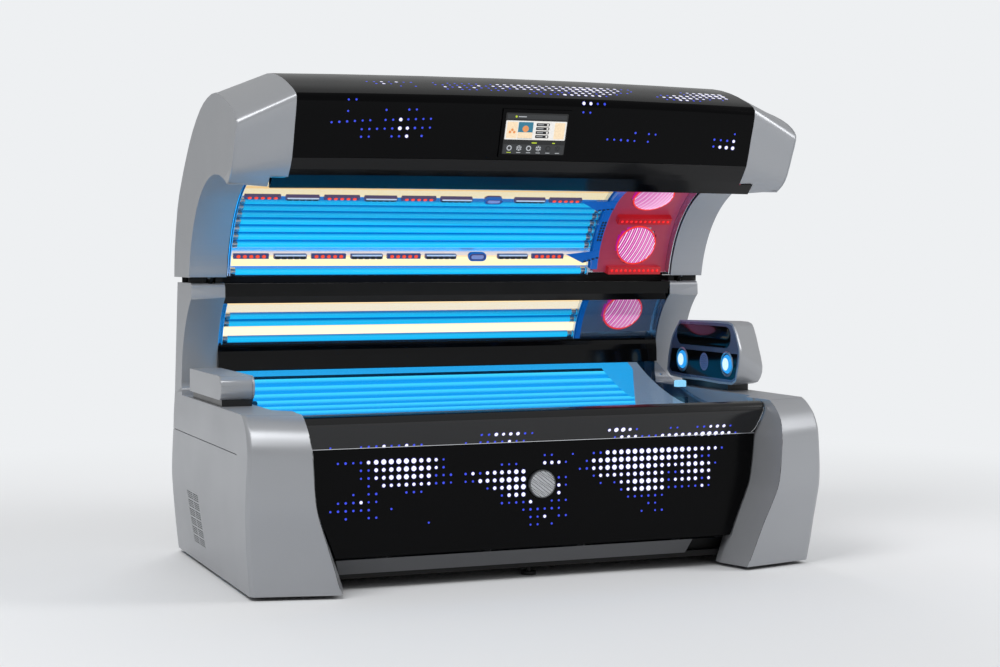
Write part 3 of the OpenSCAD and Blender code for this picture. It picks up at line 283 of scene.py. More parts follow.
# %% [markdown]
# The front panel, the canopy's shells and the screen are hard-coated black acrylic, and
# the rails and the lip beside them are piano black: a deep gloss with hardly any colour of
# its own. Fine wiping marks break the mirror a little. The mouldings behind are satin black
# ABS with a fine spark-eroded grain, and powder coats on steel have a like one. They share
# a recipe: a colour, a grain in millimetres, and patches where the gloss is wiped dull.

# %% Blacks and powder coats
WIPED_SCALE = 9.0      # 110 mm, the width of a wiping hand


def moulded_black(name, paint, roughness, grain_mm, grain_depth, mirror):
    """A plain coat or moulding; mirror is the strength of its gloss, 0.5 for most plastics."""
    tree = new_finish(name)
    place = put(tree, "ShaderNodeTexCoord").outputs["Object"]
    grain = put(tree, "ShaderNodeTexNoise", Vector=place, Scale=1000.0 / grain_mm, Detail=3.0)
    haze = put(tree, "ShaderNodeTexNoise", Vector=place, Scale=WIPED_SCALE, Detail=4.0)
    wiped = put(tree, "ShaderNodeMapRange", Value=haze.outputs[0], i1=0.35, i2=0.75,
                i3=roughness, i4=roughness + 0.05)
    bump = put(tree, "ShaderNodeBump", Height=grain.outputs[0], Strength=0.2,
               Distance=grain_depth)
    base = put(tree, "ShaderNodeBsdfPrincipled", Base_Color=linear(paint),
               Roughness=wiped.outputs[0], Specular_IOR_Level=mirror, Normal=bump.outputs[0])
    put(tree, "ShaderNodeOutputMaterial", Surface=base.outputs[0])


for name, *recipe in (
        ("piano_black_acrylic", "#040405", 0.08, 40.0, 0.00002, 0.30),
        ("hard_coated_black_acrylic", "#030304", 0.16, 40.0, 0.00002, 0.09),
        ("polished_black_rail", "#08080a", 0.14, 40.0, 0.00002, 0.6),
        ("satin_black_abs", "#141416", 0.32, 1.6, 0.00006, 0.5),
        ("black_rubber", "#101011", 0.7, 2.5, 0.0001, 0.5),
        ("kick_plate_grey_powder", "#4a4b4e", 0.42, 1.2, 0.00008, 0.5),
        ("grey_powder_coated_steel", "#65686c", 0.45, 1.4, 0.0001, 0.5),
        ("black_powder_coated_steel", "#0b0b0c", 0.5, 1.4, 0.0001, 0.3),
        ("circuit_board_lacquer", "#0d1614", 0.3, 6.0, 0.00005, 0.5),
        ("knob_groove_grey", "#5c5e61", 0.4, 1.0, 0.00005, 0.3)):
    moulded_black(name, *recipe)
print("finishes", len(FINISHES))

# %% [markdown]
# Inside are plain engineering metals: the ballast tray is zinc-plated sheet with a cloudy
# spangle, hinge pins and studs are polished steel, and the knob is brushed aluminium.
# Metals keep the default IOR. The marks of rolling and brushing are noise that is stretched
# in their direction: a spangle of 17 mm, and marks 1.1 mm wide and 25 to 33 mm long.

# %% Bare metals
def rolled_metal(name, paint, roughness, stretch, depth):
    """Bare metal; stretch is the scale of its marks along x, y and z."""
    tree = new_finish(name)
    place = put(tree, "ShaderNodeTexCoord").outputs["Object"]
    drawn = put(tree, "ShaderNodeMapping", Vector=place, Scale=stretch)
    marks = put(tree, "ShaderNodeTexNoise", Vector=drawn.outputs[0], Scale=1.0, Detail=4.0)
    tone = put(tree, "ShaderNodeMix", {"data_type": "RGBA"}, i0=marks.outputs[0],
               i6=shaded(paint, 0.86), i7=linear(paint))
    rough = put(tree, "ShaderNodeMapRange", Value=marks.outputs[0], i3=roughness,
                i4=roughness + 0.1)
    bump = put(tree, "ShaderNodeBump", Height=marks.outputs[0], Strength=0.15, Distance=depth)
    base = put(tree, "ShaderNodeBsdfPrincipled", Base_Color=tone.outputs[2], Metallic=1.0,
               Roughness=rough.outputs[0], Normal=bump.outputs[0])
    put(tree, "ShaderNodeOutputMaterial", Surface=base.outputs[0])


rolled_metal("zinc_plated_sheet", "#b4b8bc", 0.34, (60, 60, 60), 0.00005)
rolled_metal("polished_steel", "#d8dadd", 0.12, (40, 900, 900), 0.00002)
rolled_metal("brushed_aluminium", "#c9cbce", 0.24, (900, 30, 900), 0.00006)
print("finishes", len(FINISHES))

# %% [markdown]
# The reflectors behind the tubes are bright rolled aluminium, and what the eye sees in them
# is the blue of the lamps, not the metal. Tracing that light would cost many samples, so
# their lamp side glows weakly in that blue instead. The glow stops where the tubes stop,
# and on the bench it stops along a slanting line. Which side is the lamp side comes from
# the shape alone: the surface's direction is compared with the direction to the line that
# the lamps are set round.

# %% Reflectors full of lamp light
ROLLED_SCALE = (2, 700, 700)   # marks of the rolls, 1.4 mm wide and 500 mm long


def towards_line(tree, place, line):
    """How squarely a surface faces the line that its lamps are set round, from -1 to 1."""
    middle = put(tree, "ShaderNodeVectorMath", {"operation": "SUBTRACT"},
                 i0=[0, line[0], line[1]], i1=place.outputs["Object"])
    across = put(tree, "ShaderNodeVectorMath", {"operation": "MULTIPLY"}, i0=middle.outputs[0],
                 i1=[0, 1, 1])
    inward = put(tree, "ShaderNodeVectorMath", {"operation": "NORMALIZE"}, i0=across.outputs[0])
    return put(tree, "ShaderNodeVectorMath", {"operation": "DOT_PRODUCT"}, i0=inward.outputs[0],
               i1=place.outputs["Normal"]).outputs["Value"]


def lamp_lit_reflector(name, line, x_end, slant, tint, strength):
    """Rolled aluminium behind lit tubes: its lamp side is full of their blue, up to x_end."""
    tree = new_finish(name)
    place = put(tree, "ShaderNodeTexCoord")
    drawn = put(tree, "ShaderNodeMapping", Vector=place.outputs["Object"], Scale=ROLLED_SCALE)
    marks = put(tree, "ShaderNodeTexNoise", Vector=drawn.outputs[0], Scale=1.0, Detail=4.0)
    tone = put(tree, "ShaderNodeMix", {"data_type": "RGBA"}, i0=marks.outputs[0],
               i6=linear("#c4ccd6"), i7=linear("#e2e8ee"))
    parts = put(tree, "ShaderNodeSeparateXYZ", Vector=place.outputs["Object"])
    leaned = put(tree, "ShaderNodeMath", {"operation": "MULTIPLY_ADD"}, i0=parts.outputs[1],
                 i1=-slant, i2=parts.outputs[0])
    reach = put(tree, "ShaderNodeMapRange", {"interpolation_type": "SMOOTHSTEP"},
                Value=leaned.outputs[0], i1=x_end - 0.01, i2=x_end + 0.01, i3=strength, i4=0.02)
    lamp_side = put(tree, "ShaderNodeMath", {"operation": "GREATER_THAN"},
                    i0=towards_line(tree, place, line), i1=0.3)
    lit = put(tree, "ShaderNodeMath", {"operation": "MULTIPLY"}, i0=reach.outputs[0],
              i1=lamp_side.outputs[0])
    bump = put(tree, "ShaderNodeBump", Height=marks.outputs[0], Strength=0.15, Distance=0.00004)
    base = put(tree, "ShaderNodeBsdfPrincipled", Base_Color=tone.outputs[2], Metallic=1.0,
               Roughness=0.22, Normal=bump.outputs[0], Emission_Color=linear(tint),
               Emission_Strength=lit.outputs[0])
    put(tree, "ShaderNodeOutputMaterial", Surface=base.outputs[0])


lamp_lit_reflector("tunnel_lit_reflector", TUNNEL, BED_X[1], 0.0, "#0a86d8", 0.72)
lamp_lit_reflector("wall_lit_reflector", SIDE_LINE, BED_X[1], 0.0, "#0a86d8", 0.72)
lamp_lit_reflector("bench_lit_reflector", BENCH_LINE, 0.815, 0.105, "#1aa2f0", 1.25)
print("finishes", len(FINISHES))

# %% [markdown]
# The panes are cast acrylic, about 4 to 6 mm thick, polished and as clear as glass. Real
# refraction would hide the tubes behind noise, because their light would have to find its
# way through two surfaces. A thin clear coat that lets most rays pass straight on gives
# the same look: the tubes stay plain to see, and the studio is mirrored softly in it. Large
# panes sag a little between their studs, which is a swell of 250 mm in the mirror.

# %% Clear acrylic
ACRYLIC_IOR = 1.49
SAG_SCALE = 4.0


def clear_acrylic(name, tint, cover):
    """A polished pane; cover is how much of what lies behind it the pane hides, head on."""
    tree = new_finish(name)
    place = put(tree, "ShaderNodeTexCoord").outputs["Object"]
    sag = put(tree, "ShaderNodeTexNoise", Vector=place, Scale=SAG_SCALE, Detail=1.0)
    wave = put(tree, "ShaderNodeBump", Height=sag.outputs[0], Strength=0.3, Distance=0.002)
    edge = put(tree, "ShaderNodeFresnel", IOR=ACRYLIC_IOR, Normal=wave.outputs[0])
    veil = put(tree, "ShaderNodeMapRange", Value=edge.outputs[0], i1=0.04, i2=0.9, i3=cover,
               i4=cover + 0.26)
    base = put(tree, "ShaderNodeBsdfPrincipled", Base_Color=linear(tint), Roughness=0.05,
               IOR=ACRYLIC_IOR, Alpha=veil.outputs[0], Normal=wave.outputs[0])
    put(tree, "ShaderNodeOutputMaterial", Surface=base.outputs[0])


clear_acrylic("clear_cast_acrylic", "#1b5a86", 0.05)
print("finishes", len(FINISHES))

# %% [markdown]
# A lit tube isn't one flat colour. The phosphor is brightest where the eye looks straight
# at it and falls off to a deeper blue at its sides. That is worked out from the place on
# the tube and not from the camera, with the same comparison as for the reflectors. The warm
# light bars between the tubes are made in the same way.

# %% Lit tubes
def lit_tube(name, line, core, side, strength):
    """Glows brightest on the side that faces the line, which runs along the bed."""
    tree = new_finish(name)
    place = put(tree, "ShaderNodeTexCoord")
    facing = put(tree, "ShaderNodeMapRange", {"interpolation_type": "SMOOTHSTEP"},
                 Value=towards_line(tree, place, line), i1=0.25, i2=0.98, i3=0.0, i4=1.0)
    colour = put(tree, "ShaderNodeMix", {"data_type": "RGBA"}, i0=facing.outputs[0],
                 i6=linear(side), i7=linear(core))
    base = put(tree, "ShaderNodeBsdfPrincipled", Base_Color=linear("#101c28"), Roughness=0.15,
               Emission_Color=colour.outputs[2], Emission_Strength=strength)
    put(tree, "ShaderNodeOutputMaterial", Surface=base.outputs[0])


lit_tube("lit_blue_tube_canopy", TUNNEL, "#1cc4ff", "#006fc4", 1.15)
lit_tube("lit_blue_tube_wall", SIDE_LINE, "#1cc4ff", "#0068b8", 1.0)
lit_tube("lit_blue_tube_bench", BENCH_LINE, "#3ccfff", "#0e94e4", 1.6)
lit_tube("lit_warm_bar_canopy", TUNNEL, "#ffeebc", "#ffd488", 1.3)
lit_tube("lit_warm_bar_wall", SIDE_LINE, "#fff0cc", "#ffe0a8", 1.35)
print("finishes", len(FINISHES))

# %% [markdown]
# Small lights are simpler: an LED is a tiny clear dome over a chip, a glowing point of one
# colour. Behind smoked acrylic the white ones get a violet-blue rim where the light
# spreads, and weaker ones show only that blue. A patchy noise of 6 mm makes no two lights
# quite alike, as with real chips.

# %% Small lights
CHIP_SCALE = 160.0


def glow(name, colour, strength):
    """A small light of one colour under a dark clear cover."""
    tree = new_finish(name)
    place = put(tree, "ShaderNodeTexCoord").outputs["Object"]
    chip = put(tree, "ShaderNodeTexNoise", Vector=place, Scale=CHIP_SCALE, Detail=1.0)
    shade = put(tree, "ShaderNodeMapRange", Value=chip.outputs[0], i1=0.3, i2=0.7,
                i3=strength * 0.92, i4=strength * 1.06)
    base = put(tree, "ShaderNodeBsdfPrincipled", Base_Color=linear("#050505"), Roughness=0.2,
               Emission_Color=linear(colour), Emission_Strength=shade.outputs[0])
    put(tree, "ShaderNodeOutputMaterial", Surface=base.outputs[0])


for name, colour, strength in (
        ("led_white", "#ffffff", 1.1), ("led_blue_rim", "#3d3dff", 0.55),
        ("led_blue", "#3a50ff", 0.9), ("led_red", "#ff1418", 1.0),
        ("led_orange_red", "#ff4a1c", 1.0), ("face_lamp_pink", "#c8149e", 0.8),
        ("face_lamp_rib_white", "#ffe6f6", 1.1), ("face_lamp_rib_pink", "#ff9ade", 1.0),
        ("face_lamp_rim", "#ff3a20", 0.9), ("nozzle_glow_blue", "#2aa8ff", 0.9),
        ("nozzle_glow_white", "#d4f1ff", 1.1), ("frosted_block_glow", "#8fd8ff", 1.0),
        ("bench_painted_tube_glow", "#2ab2fa", 1.25)):
    glow(name, colour, strength)
print("finishes", len(FINISHES))

# %% [markdown]
# The face compartment at the head end is lined in moulded plastic whose rose paints in
# the red light of its bars, and the accessory strips and the divider are coloured
# mouldings in the violet and blue light of the tunnel. Each moulding also glows weakly in
# its own colour, painted light for the lamp light that falls on it. Injection moulding
# leaves flow marks of about 70 mm, and the eroded skin of the mould a grain of 2 mm, both
# faint.

# %% Coloured mouldings
FLOW_SCALE = 14.0
SKIN_SCALE = 500.0


def coloured_moulding(name, paint, roughness, lift):
    """Gloss moulding; lift is a weak glow in its own colour, painted light for the lamps on it."""
    tree = new_finish(name)
    place = put(tree, "ShaderNodeTexCoord").outputs["Object"]
    flow = put(tree, "ShaderNodeTexNoise", Vector=place, Scale=FLOW_SCALE, Detail=3.0)
    tone = put(tree, "ShaderNodeMix", {"data_type": "RGBA"}, i0=flow.outputs[0],
               i6=shaded(paint, 0.82), i7=linear(paint))
    skin = put(tree, "ShaderNodeTexNoise", Vector=place, Scale=SKIN_SCALE, Detail=2.0)
    bump = put(tree, "ShaderNodeBump", Height=skin.outputs[0], Strength=0.1, Distance=0.0002)
    # the emission is painted light in the moulding's own colour, not a lamp
    base = put(tree, "ShaderNodeBsdfPrincipled", Base_Color=tone.outputs[2], Roughness=roughness,
               Normal=bump.outputs[0], Emission_Color=linear(paint), Emission_Strength=lift)
    put(tree, "ShaderNodeOutputMaterial", Surface=base.outputs[0])


# the last number is the painted glow; the bench end's 1.0 lights a cover that lies in shade
for name, *recipe in (
        ("violet_grey_moulding", "#5c4c7c", 0.3, 0.10), ("outlet_lip_white", "#d9dce6", 0.3, 0.35),
        ("divider_blue_moulding", "#0d62b4", 0.25, 0.30),
        ("oval_unit_lilac", "#9a9cc8", 0.25, 0.25), ("red_lined_moulding", "#c01c26", 0.3, 0.30),
        ("face_bed_rose", "#b03a52", 0.3, 0.30), ("bench_end_grey", "#74889c", 0.35, 1.0),
        ("wall_lining_grey", "#4c5a70", 0.3, 0.35)):
    coloured_moulding(name, *recipe)
print("finishes", len(FINISHES))

# %% [markdown]
# Each CAD node now gets its finish. A node keeps its mesh as it is, and only its material
# slot is changed, so the dressed bed and the CAD bed stay the same object.

# %% Finishes of the CAD nodes
SILVER, PIANO, SATIN = "satin_silver_lacquer", "piano_black_acrylic", "satin_black_abs"
COATED = "hard_coated_black_acrylic"
NODE_FINISH = {
    "base_frame": "black_powder_coated_steel", "levelling_feet": "black_rubber",
    "left_foot_casing": SILVER, "right_foot_casing": SILVER, "left_column": SILVER,
    "right_column": SILVER, "left_vent_grille": SILVER, "right_vent_grille": SILVER,
    "kick_strip": "kick_plate_grey_powder", "front_rail": "polished_black_rail",
    "rail_trim": "polished_steel", "bottom_tray": "black_powder_coated_steel",
    "back_panel": SATIN, "mains_inlet": SATIN, "ballast_tray": "zinc_plated_sheet",
    "bench_reflector": "bench_lit_reflector", "bench_tubes_set": "lit_blue_tube_bench",
    "bench_lampholders": SATIN, "lying_pane": "clear_cast_acrylic",
    "pane_studs": "polished_steel", "side_top_rail": PIANO, "side_lower_rail": PIANO,
    "side_reflector": "wall_lit_reflector", "side_tubes": "lit_blue_tube_wall",
    "side_light_bars": "lit_warm_bar_wall", "side_pane": "clear_cast_acrylic",
    "side_facial_lamp": "face_lamp_pink", "side_divider": "divider_blue_moulding",
    "head_pod_shell": SILVER, "head_pod_face": "smoked_blue_lacquer", "head_pod_slot": PIANO,
    "head_pod_speaker": SATIN, "head_pod_foot": SATIN, "foot_pod_shell": SILVER,
    "foot_pod_base": SATIN, "hinge_pins": "polished_steel", "fan_housings": SATIN,
    "left_fan_rotor": SATIN, "right_fan_rotor": SATIN, "front_panel": COATED,
    "panel_led_board": "circuit_board_lacquer", "panel_hinge_rod": "grey_powder_coated_steel",
    "panel_knob": "brushed_aluminium", "front_air_nozzle": "nozzle_glow_blue",
    "rear_air_nozzle": "nozzle_glow_blue", "canopy_frame": "grey_powder_coated_steel",
    "left_canopy_cap": SILVER, "right_canopy_cap": SILVER, "canopy_top_shell": COATED,
    "canopy_front_glass": COATED, "canopy_lip": PIANO, "control_screen": COATED,
    "canopy_reflector": "tunnel_lit_reflector", "canopy_tubes": "lit_blue_tube_canopy",
    "canopy_light_bars": "lit_warm_bar_canopy", "canopy_pane": "clear_cast_acrylic",
    "accessory_strips": "violet_grey_moulding", "canopy_divider": "divider_blue_moulding",
    "canopy_facial_lamps": "face_lamp_pink", "canopy_led_bars": "red_lined_moulding"}

for name, paint in NODE_FINISH.items():
    data = NODES[name].data
    data.materials.clear()
    data.materials.append(FINISHES[paint])
print("finished nodes", len(NODE_FINISH), "without", sorted(set(NODES) - set(NODE_FINISH)))

# %% [markdown]
# Every fitting below is drawn from loops: a closed row of points that is joined to the
# next one. A few loops give a dome, a rounded bar, a ring or a dished button, with real
# edges that catch light. The form collects loops with the finish of each stretch and
# becomes one piece that rides on a body of the frame.

# %% Forms from loops
CREASE = math.radians(32)


class Form:
    def __init__(self):
        self.points, self.faces, self.tints = [], [], []

    def loft(self, loops, tint=0, start=True, end=True):
        """Joins closed loops of equal count, and closes the first and last if asked."""
        base, count = len(self.points), len(loops[0])
        for loop in loops:
            self.points.extend(tuple(p) for p in loop)
        for j in range(len(loops) - 1):
            for i in range(count):
                k = (i + 1) % count
                a, b = base + j * count, base + (j + 1) * count
                self.faces.append((a + i, a + k, b + k, b + i))
                self.tints.append(tint)
        for close, j in ((start, 0), (end, len(loops) - 1)):
            if close:
                row = [base + j * count + i for i in range(count)]
                self.faces.append(tuple(reversed(row) if j == 0 else row))
                self.tints.append(tint)

    def piece(self, name, paints, body, slot):
        """Makes the piece; tint 0 of the lofts is the first paint, and so on."""
        mesh = bpy.data.meshes.new(name)
        mesh.from_pydata(self.points, [], self.faces)
        mesh.update()
        work = bmesh.new()
        work.from_mesh(mesh)
        bmesh.ops.recalc_face_normals(work, faces=work.faces)
        work.to_mesh(mesh)
        work.free()
        for paint in paints:
            mesh.materials.append(FINISHES[paint])
        mesh.polygons.foreach_set("material_index", self.tints)
        mesh.polygons.foreach_set("use_smooth", [True] * len(self.faces))
        mesh.set_sharp_from_angle(angle=CREASE)
        made = show(name, mesh)
        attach(made, body)
        print(name, "faces", len(self.faces))


print("edges sharper than", round(math.degrees(CREASE)), "degrees stay crisp")

# %% [markdown]
# A handful of outlines and profiles serve all the fittings: a ring, a rectangle with round
# corners, a half-round rib, a tube along a row of places, and a button, which is an outline
# that shrinks in steps as it rises.

# %% Outlines, ribs, tubes and buttons
SUNK = 0.0006      # how far the underside of a rib lies in what carries it


def ring(centre, u, v, radius, count=24, radius_v=None):
    """A closed loop round a centre in the plane of u and v."""
    rv = radius if radius_v is None else radius_v
    turns = [2 * math.pi * i / count for i in range(count)]
    return [centre + u * (radius * math.cos(t)) + v * (rv * math.sin(t)) for t in turns]


def rounded(centre, u, v, width, height, corner, steps=4):
    """A closed loop in the form of a rectangle with round corners."""
    loop = []
    hw, hh = width / 2 - corner, height / 2 - corner
    for quarter, (su, sv) in enumerate([(1, 1), (-1, 1), (-1, -1), (1, -1)]):
        for i in range(steps + 1):
            t = math.pi / 2 * (quarter + i / steps)
            loop.append(centre + u * (su * hw + corner * math.cos(t))
                        + v * (sv * hh + corner * math.sin(t)))
    return loop


def headings(spots):
    """The direction of a row of places at each of them."""
    last = len(spots) - 1
    return [(spots[min(i + 1, last)] - spots[max(i - 1, 0)]).normalized()
            for i in range(len(spots))]


def rib(form, spots, up, width, height, tint=0):
    """A half-round bar along the spots that stands out along up."""
    turns = [math.pi * k / 5 for k in range(6)]
    loops = []
    for spot, ahead in zip(spots, headings(spots)):
        side = up.cross(ahead).normalized()
        loop = [spot + side * (width / 2 * math.cos(t)) + up * (height * math.sin(t))
                for t in turns]
        loops.append(loop + [spot - up * SUNK])
    form.loft(loops, tint)


def tube_along(form, spots, radius, tint, count):
    """A round tube along the spots."""
    loops = []
    for spot, ahead in zip(spots, headings(spots)):
        side = UPWARD.cross(ahead)
        side = side.normalized() if side.length > 0.1 else BACKWARD
        loops.append(ring(spot, side, ahead.cross(side), radius, count))
    form.loft(loops, tint)


def button(form, outline, centre, up, steps, tint=0, start=True):
    """Lofts an outline through (share of size, height) steps along up."""
    form.loft([[centre + (p - centre) * share + up * height for p in outline]
               for share, height in steps], tint, start=start)


print("a ring of 1 m has", len(ring(Vector(), HEADWARD, BACKWARD, 1)), "points")

# %% [markdown]
# Fittings that lie on a curved surface have to find it. A ray is shot from outside, and it
# gives the place and the direction of the surface where it lands. A search tree of each
# node's mesh makes that quick, and it works for hidden nodes too.

# %% Rays that find the surface
IN_FRONT = -1.2                # y of a place clear in front of the panel and the rail
TREES = {}


def meet(node, start, way):
    """Place and outward direction where a ray first meets a CAD node, or None."""
    if node not in TREES:
        work = bmesh.new()
        work.from_mesh(NODES[node].data)
        TREES[node] = BVHTree.FromBMesh(work)
        work.free()
    place, normal = TREES[node].ray_cast(start, way)[:2]
    return (place, normal) if place else None


print("front panel at mid height, y",
      round(meet("front_panel", Vector((0.3, IN_FRONT, 0.4)), BACKWARD)[0].y, 3))

# %% [markdown]
# Vacuum-formed shells have no flat facets, while the CAD model keeps its curved skins as
# many small flats. Each silver or black shell is therefore shown by a piece that is made
# from the node's own mesh, point for point: its loose corners are joined, and its shading
# runs smoothly over every fold that is less than an angle. On the casings that angle is
# smaller, because their ridges are crisp. Long thin flats would still pull the shading
# askew, so each corner's direction is weighted by the size of the flats round it.

# %% Smooth shells
SHELLS = {
    "left_canopy_cap": "canopy", "right_canopy_cap": "canopy", "canopy_top_shell": "canopy",
    "canopy_front_glass": "canopy", "left_foot_casing": "base", "right_foot_casing": "base",
    "left_column": "base", "right_column": "base", "head_pod_shell": "base",
    "foot_pod_shell": "base", "front_rail": "base"}
SMOOTH_FOLD, CASING_FOLD = 34, 24    # degrees
JOINED = 0.00002       # corners nearer than this are one corner


def smooth_shell(node, body, fold):
    """A skin over the node's own shape that hides folds of fewer degrees than fold."""
    work = bmesh.new()
    work.from_mesh(NODES[node].data)
    bmesh.ops.remove_doubles(work, verts=work.verts, dist=JOINED)
    mesh = bpy.data.meshes.new(node + "_skin")
    work.to_mesh(mesh)
    work.free()
    mesh.materials.append(FINISHES[NODE_FINISH[node]])
    mesh.polygons.foreach_set("use_smooth", [True] * len(mesh.polygons))
    mesh.set_sharp_from_angle(angle=math.radians(fold))
    made = show(node + "_skin", mesh)
    even = made.modifiers.new("even_shading", "WEIGHTED_NORMAL")
    even.mode, even.weight, even.keep_sharp = "FACE_AREA", 50, True
    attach(made, body)
    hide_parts(node)


for node, body in SHELLS.items():
    smooth_shell(node, body, CASING_FOLD if node.endswith("casing") else SMOOTH_FOLD)
print("smooth shells", len(SHELLS))

# %% [markdown]
# Behind the black acrylic of the front panel and the canopy's glass sits a grid of LEDs,
# 30 mm apart, which fade in and out in clouds of light. The dots here are thin lenses that
# lie on the acrylic, placed by rays, so they follow its curve. A seeded field of soft blobs
# says how bright each one is: bright ones are large and white with a blue rim, weak ones
# small and blue, and the rest stay dark.

# %% Clouds of LED dots
PITCH = 0.030
LED_PAINTS = ["led_white", "led_blue", "led_blue_rim"]
WHITE_FROM = 0.34              # weaker lights show only blue
FLICKER = (-0.24, 0.10)        # how far single lights stray from their cloud
DARK_BELOW, DIMMED = 0.30, 0.20    # weaker places are dark, and the others lose DIMMED
DOT_MARGIN = 0.012             # no dot is nearer than this to the end of its surface


def cloud_field(seed, x_range, z_range, count, spread):
    """Soft blobs at seeded places; gives a function from a place to a brightness."""
    draw = random.Random(seed)
    blobs = [(draw.uniform(*x_range), draw.uniform(*z_range), draw.uniform(0.6, 1.4) * spread,
              draw.uniform(0.55, 1.25)) for _ in range(count)]

    def brightness(x, z):
        return sum(power * math.exp(-((x - bx) ** 2 / (size * 1.5) ** 2
                                      + (z - bz) ** 2 / (size * 0.7) ** 2))
                   for bx, bz, size, power in blobs)
    return brightness


def lens_dot(form, spot, normal, level):
    """One LED seen through the acrylic; level runs from 0 to 1."""
    u = normal.cross(HEADWARD).normalized()
    v = normal.cross(u).normalized()
    if level < WHITE_FROM:
        r = 0.0036 + 0.005 * level
        form.loft([ring(spot + normal * h, u, v, r * s, 12)
                   for s, h in ((1.0, -0.0004), (0.92, 0.0005), (0.4, 0.0007))], 1)
        return
    r = 0.0038 + 0.0060 * min(level, 1)
    form.loft([ring(spot + normal * h, u, v, r + g, 16)
               for g, h in ((0.0016, -0.0004), (0.0012, 0.0004), (0.0, 0.0006))], 2, end=False)
    form.loft([ring(spot + normal * h, u, v, r * s, 16)
               for s, h in ((1.0, 0.0006), (0.7, 0.0009), (0.3, 0.0011))], 0, start=False)


def dot_cloud(form, node, spots, way, field, draw):
    """Puts a dot wherever a ray meets the node and the field is bright enough there."""
    lit = 0
    for x, w, start in spots:
        level = field(x, w) + draw.uniform(*FLICKER)
        if level < DARK_BELOW:
            continue
        level = level - DIMMED
        shifts = [Vector((dx, 0, 0)) for dx in (-DOT_MARGIN, DOT_MARGIN, 0)]
        hits = [meet(node, start + shift, way) for shift in shifts]
        if not all(hits):
            continue
        lens_dot(form, *hits[-1], level)
        lit += 1
    return lit


print("rows and columns", round(PITCH * 1000), "mm apart")

# %% [markdown]
# The panel and the rail above it share one grid and one field, so that the clouds run on
# over the joint. The dots of the rail are a piece of their own, because the panel swings
# down for service and the rail stays. Nothing is lit round the knob.

# %% Dots on the panel and the rail
KNOB_Z = 0.377
KNOB_CLEAR = 0.075
PANEL_ROWS, RAIL_ROWS = range(12), (13, 14)
FIRST_COLUMN, FIRST_ROW = -0.885, 0.158
columns = [FIRST_COLUMN + PITCH * i for i in range(60)]
draw = random.Random(41)
panel_field = cloud_field(21, (-0.9, 0.9), (0.12, 0.60), 34, 0.072)


def lean(x, z):
    """The clouds are fuller towards the head end and the rail, and thin out below."""
    upward = min(1, max(0, z - 0.20) / 0.24)
    return panel_field(x, z) * (0.55 + 0.31 * (x + 0.9)) * (0.16 + upward)


for node, rows, piece, body in (("front_panel", PANEL_ROWS, "panel_led_dots", "front_panel"),
                                ("front_rail", RAIL_ROWS, "rail_led_dots", "base")):
    dots = Form()
    heights = [FIRST_ROW + PITCH * i for i in rows]
    spots = [(x, z, Vector((x, IN_FRONT, z))) for z in heights for x in columns
             if math.hypot(x, z - KNOB_Z) > KNOB_CLEAR]
    lit = dot_cloud(dots, node, spots, BACKWARD, lean, draw)
    dots.piece(piece, LED_PAINTS, body, "circuit_board")
    print(node, "dots", lit)

# %% [markdown]
# On the canopy the rays come in from a circle round the tunnel's middle line. The glass
# isn't round about that line, so its own profile is walked first, in small steps, and a
# row is set down at every pitch of its length.

# %% Dots on the canopy
OUTSIDE_R = 1.6                # rays start this far from the line
PROFILE_X = 0.25               # the profile is walked beside the screen
WALK_STEP, SEAM_CLEAR = 0.1, 1.0
SCREEN_HALF = 0.185            # nothing is lit this near to the middle of the glass
SKINS = ("canopy_top_shell", "canopy_front_glass")
ROWS_FROM, ROWS_TO = 106, 150  # the part of the arc that holds rows, in degrees


def outer_hit(x, angle):
    """The node and place that a ray from outside meets first, of the glass and the shell."""
    start = on_arc(TUNNEL, OUTSIDE_R, angle, x)
    found = [(node, meet(node, start, arc_axes(angle)[0])) for node in SKINS]
    found = [(node, hit[0]) for node, hit in found if hit]
    return min(found, key=lambda f: (f[1] - start).length) if found else None


def canopy_rows(first, last):
    """Angles and nodes at which rows of dots lie one pitch apart, clear of the seams."""
    rows, walked, last_spot, angle = [], PITCH, None, first
    while angle < last:
        hit = outer_hit(PROFILE_X, angle)
        if hit:
            walked += (hit[1] - last_spot).length if last_spot else 0
            if walked >= PITCH:
                beside = [outer_hit(PROFILE_X, angle + turn) for turn in (-SEAM_CLEAR, SEAM_CLEAR)]
                if all(b and b[0] == hit[0] for b in beside):
                    rows.append((angle, hit[0]))
                walked = 0.0
            last_spot = hit[1]
        angle += WALK_STEP
    return rows


all_rows = canopy_rows(ROWS_FROM, ROWS_TO)
canopy_field = cloud_field(31, (-0.9, 0.9), (0.0, 0.42), 22, 0.085)


def to_head(x, w):
    """On the canopy the clouds are fuller towards the head end and the top."""
    return canopy_field(x, w) * (0.22 + 0.53 * (x + 0.9)) * (0.55 + 2.0 * min(0.3, w))


canopy_dots = Form()
lit = 0
for j, (angle, node) in enumerate(reversed(all_rows)):
    spots = [(x, PITCH * (j + 3), on_arc(TUNNEL, OUTSIDE_R, angle, x)) for x in columns
             if node != "canopy_front_glass" or abs(x) > SCREEN_HALF]
    lit += dot_cloud(canopy_dots, node, spots, arc_axes(angle)[0], to_head, draw)
canopy_dots.piece("canopy_led_dots", LED_PAINTS, "canopy", "circuit_board")
print("canopy dots", lit, "rows", len(all_rows))

# %% [markdown]
# Each facial lamp is a round reflector lamp behind a moulded lens with slanting ribs. The
# ribs split its pink light into bright and deep stripes, and the rim glows orange-red.
# A dome is drawn by the CAD; here each rib is a half-round bar that follows the dome, and
# the rim is a ring round its foot.

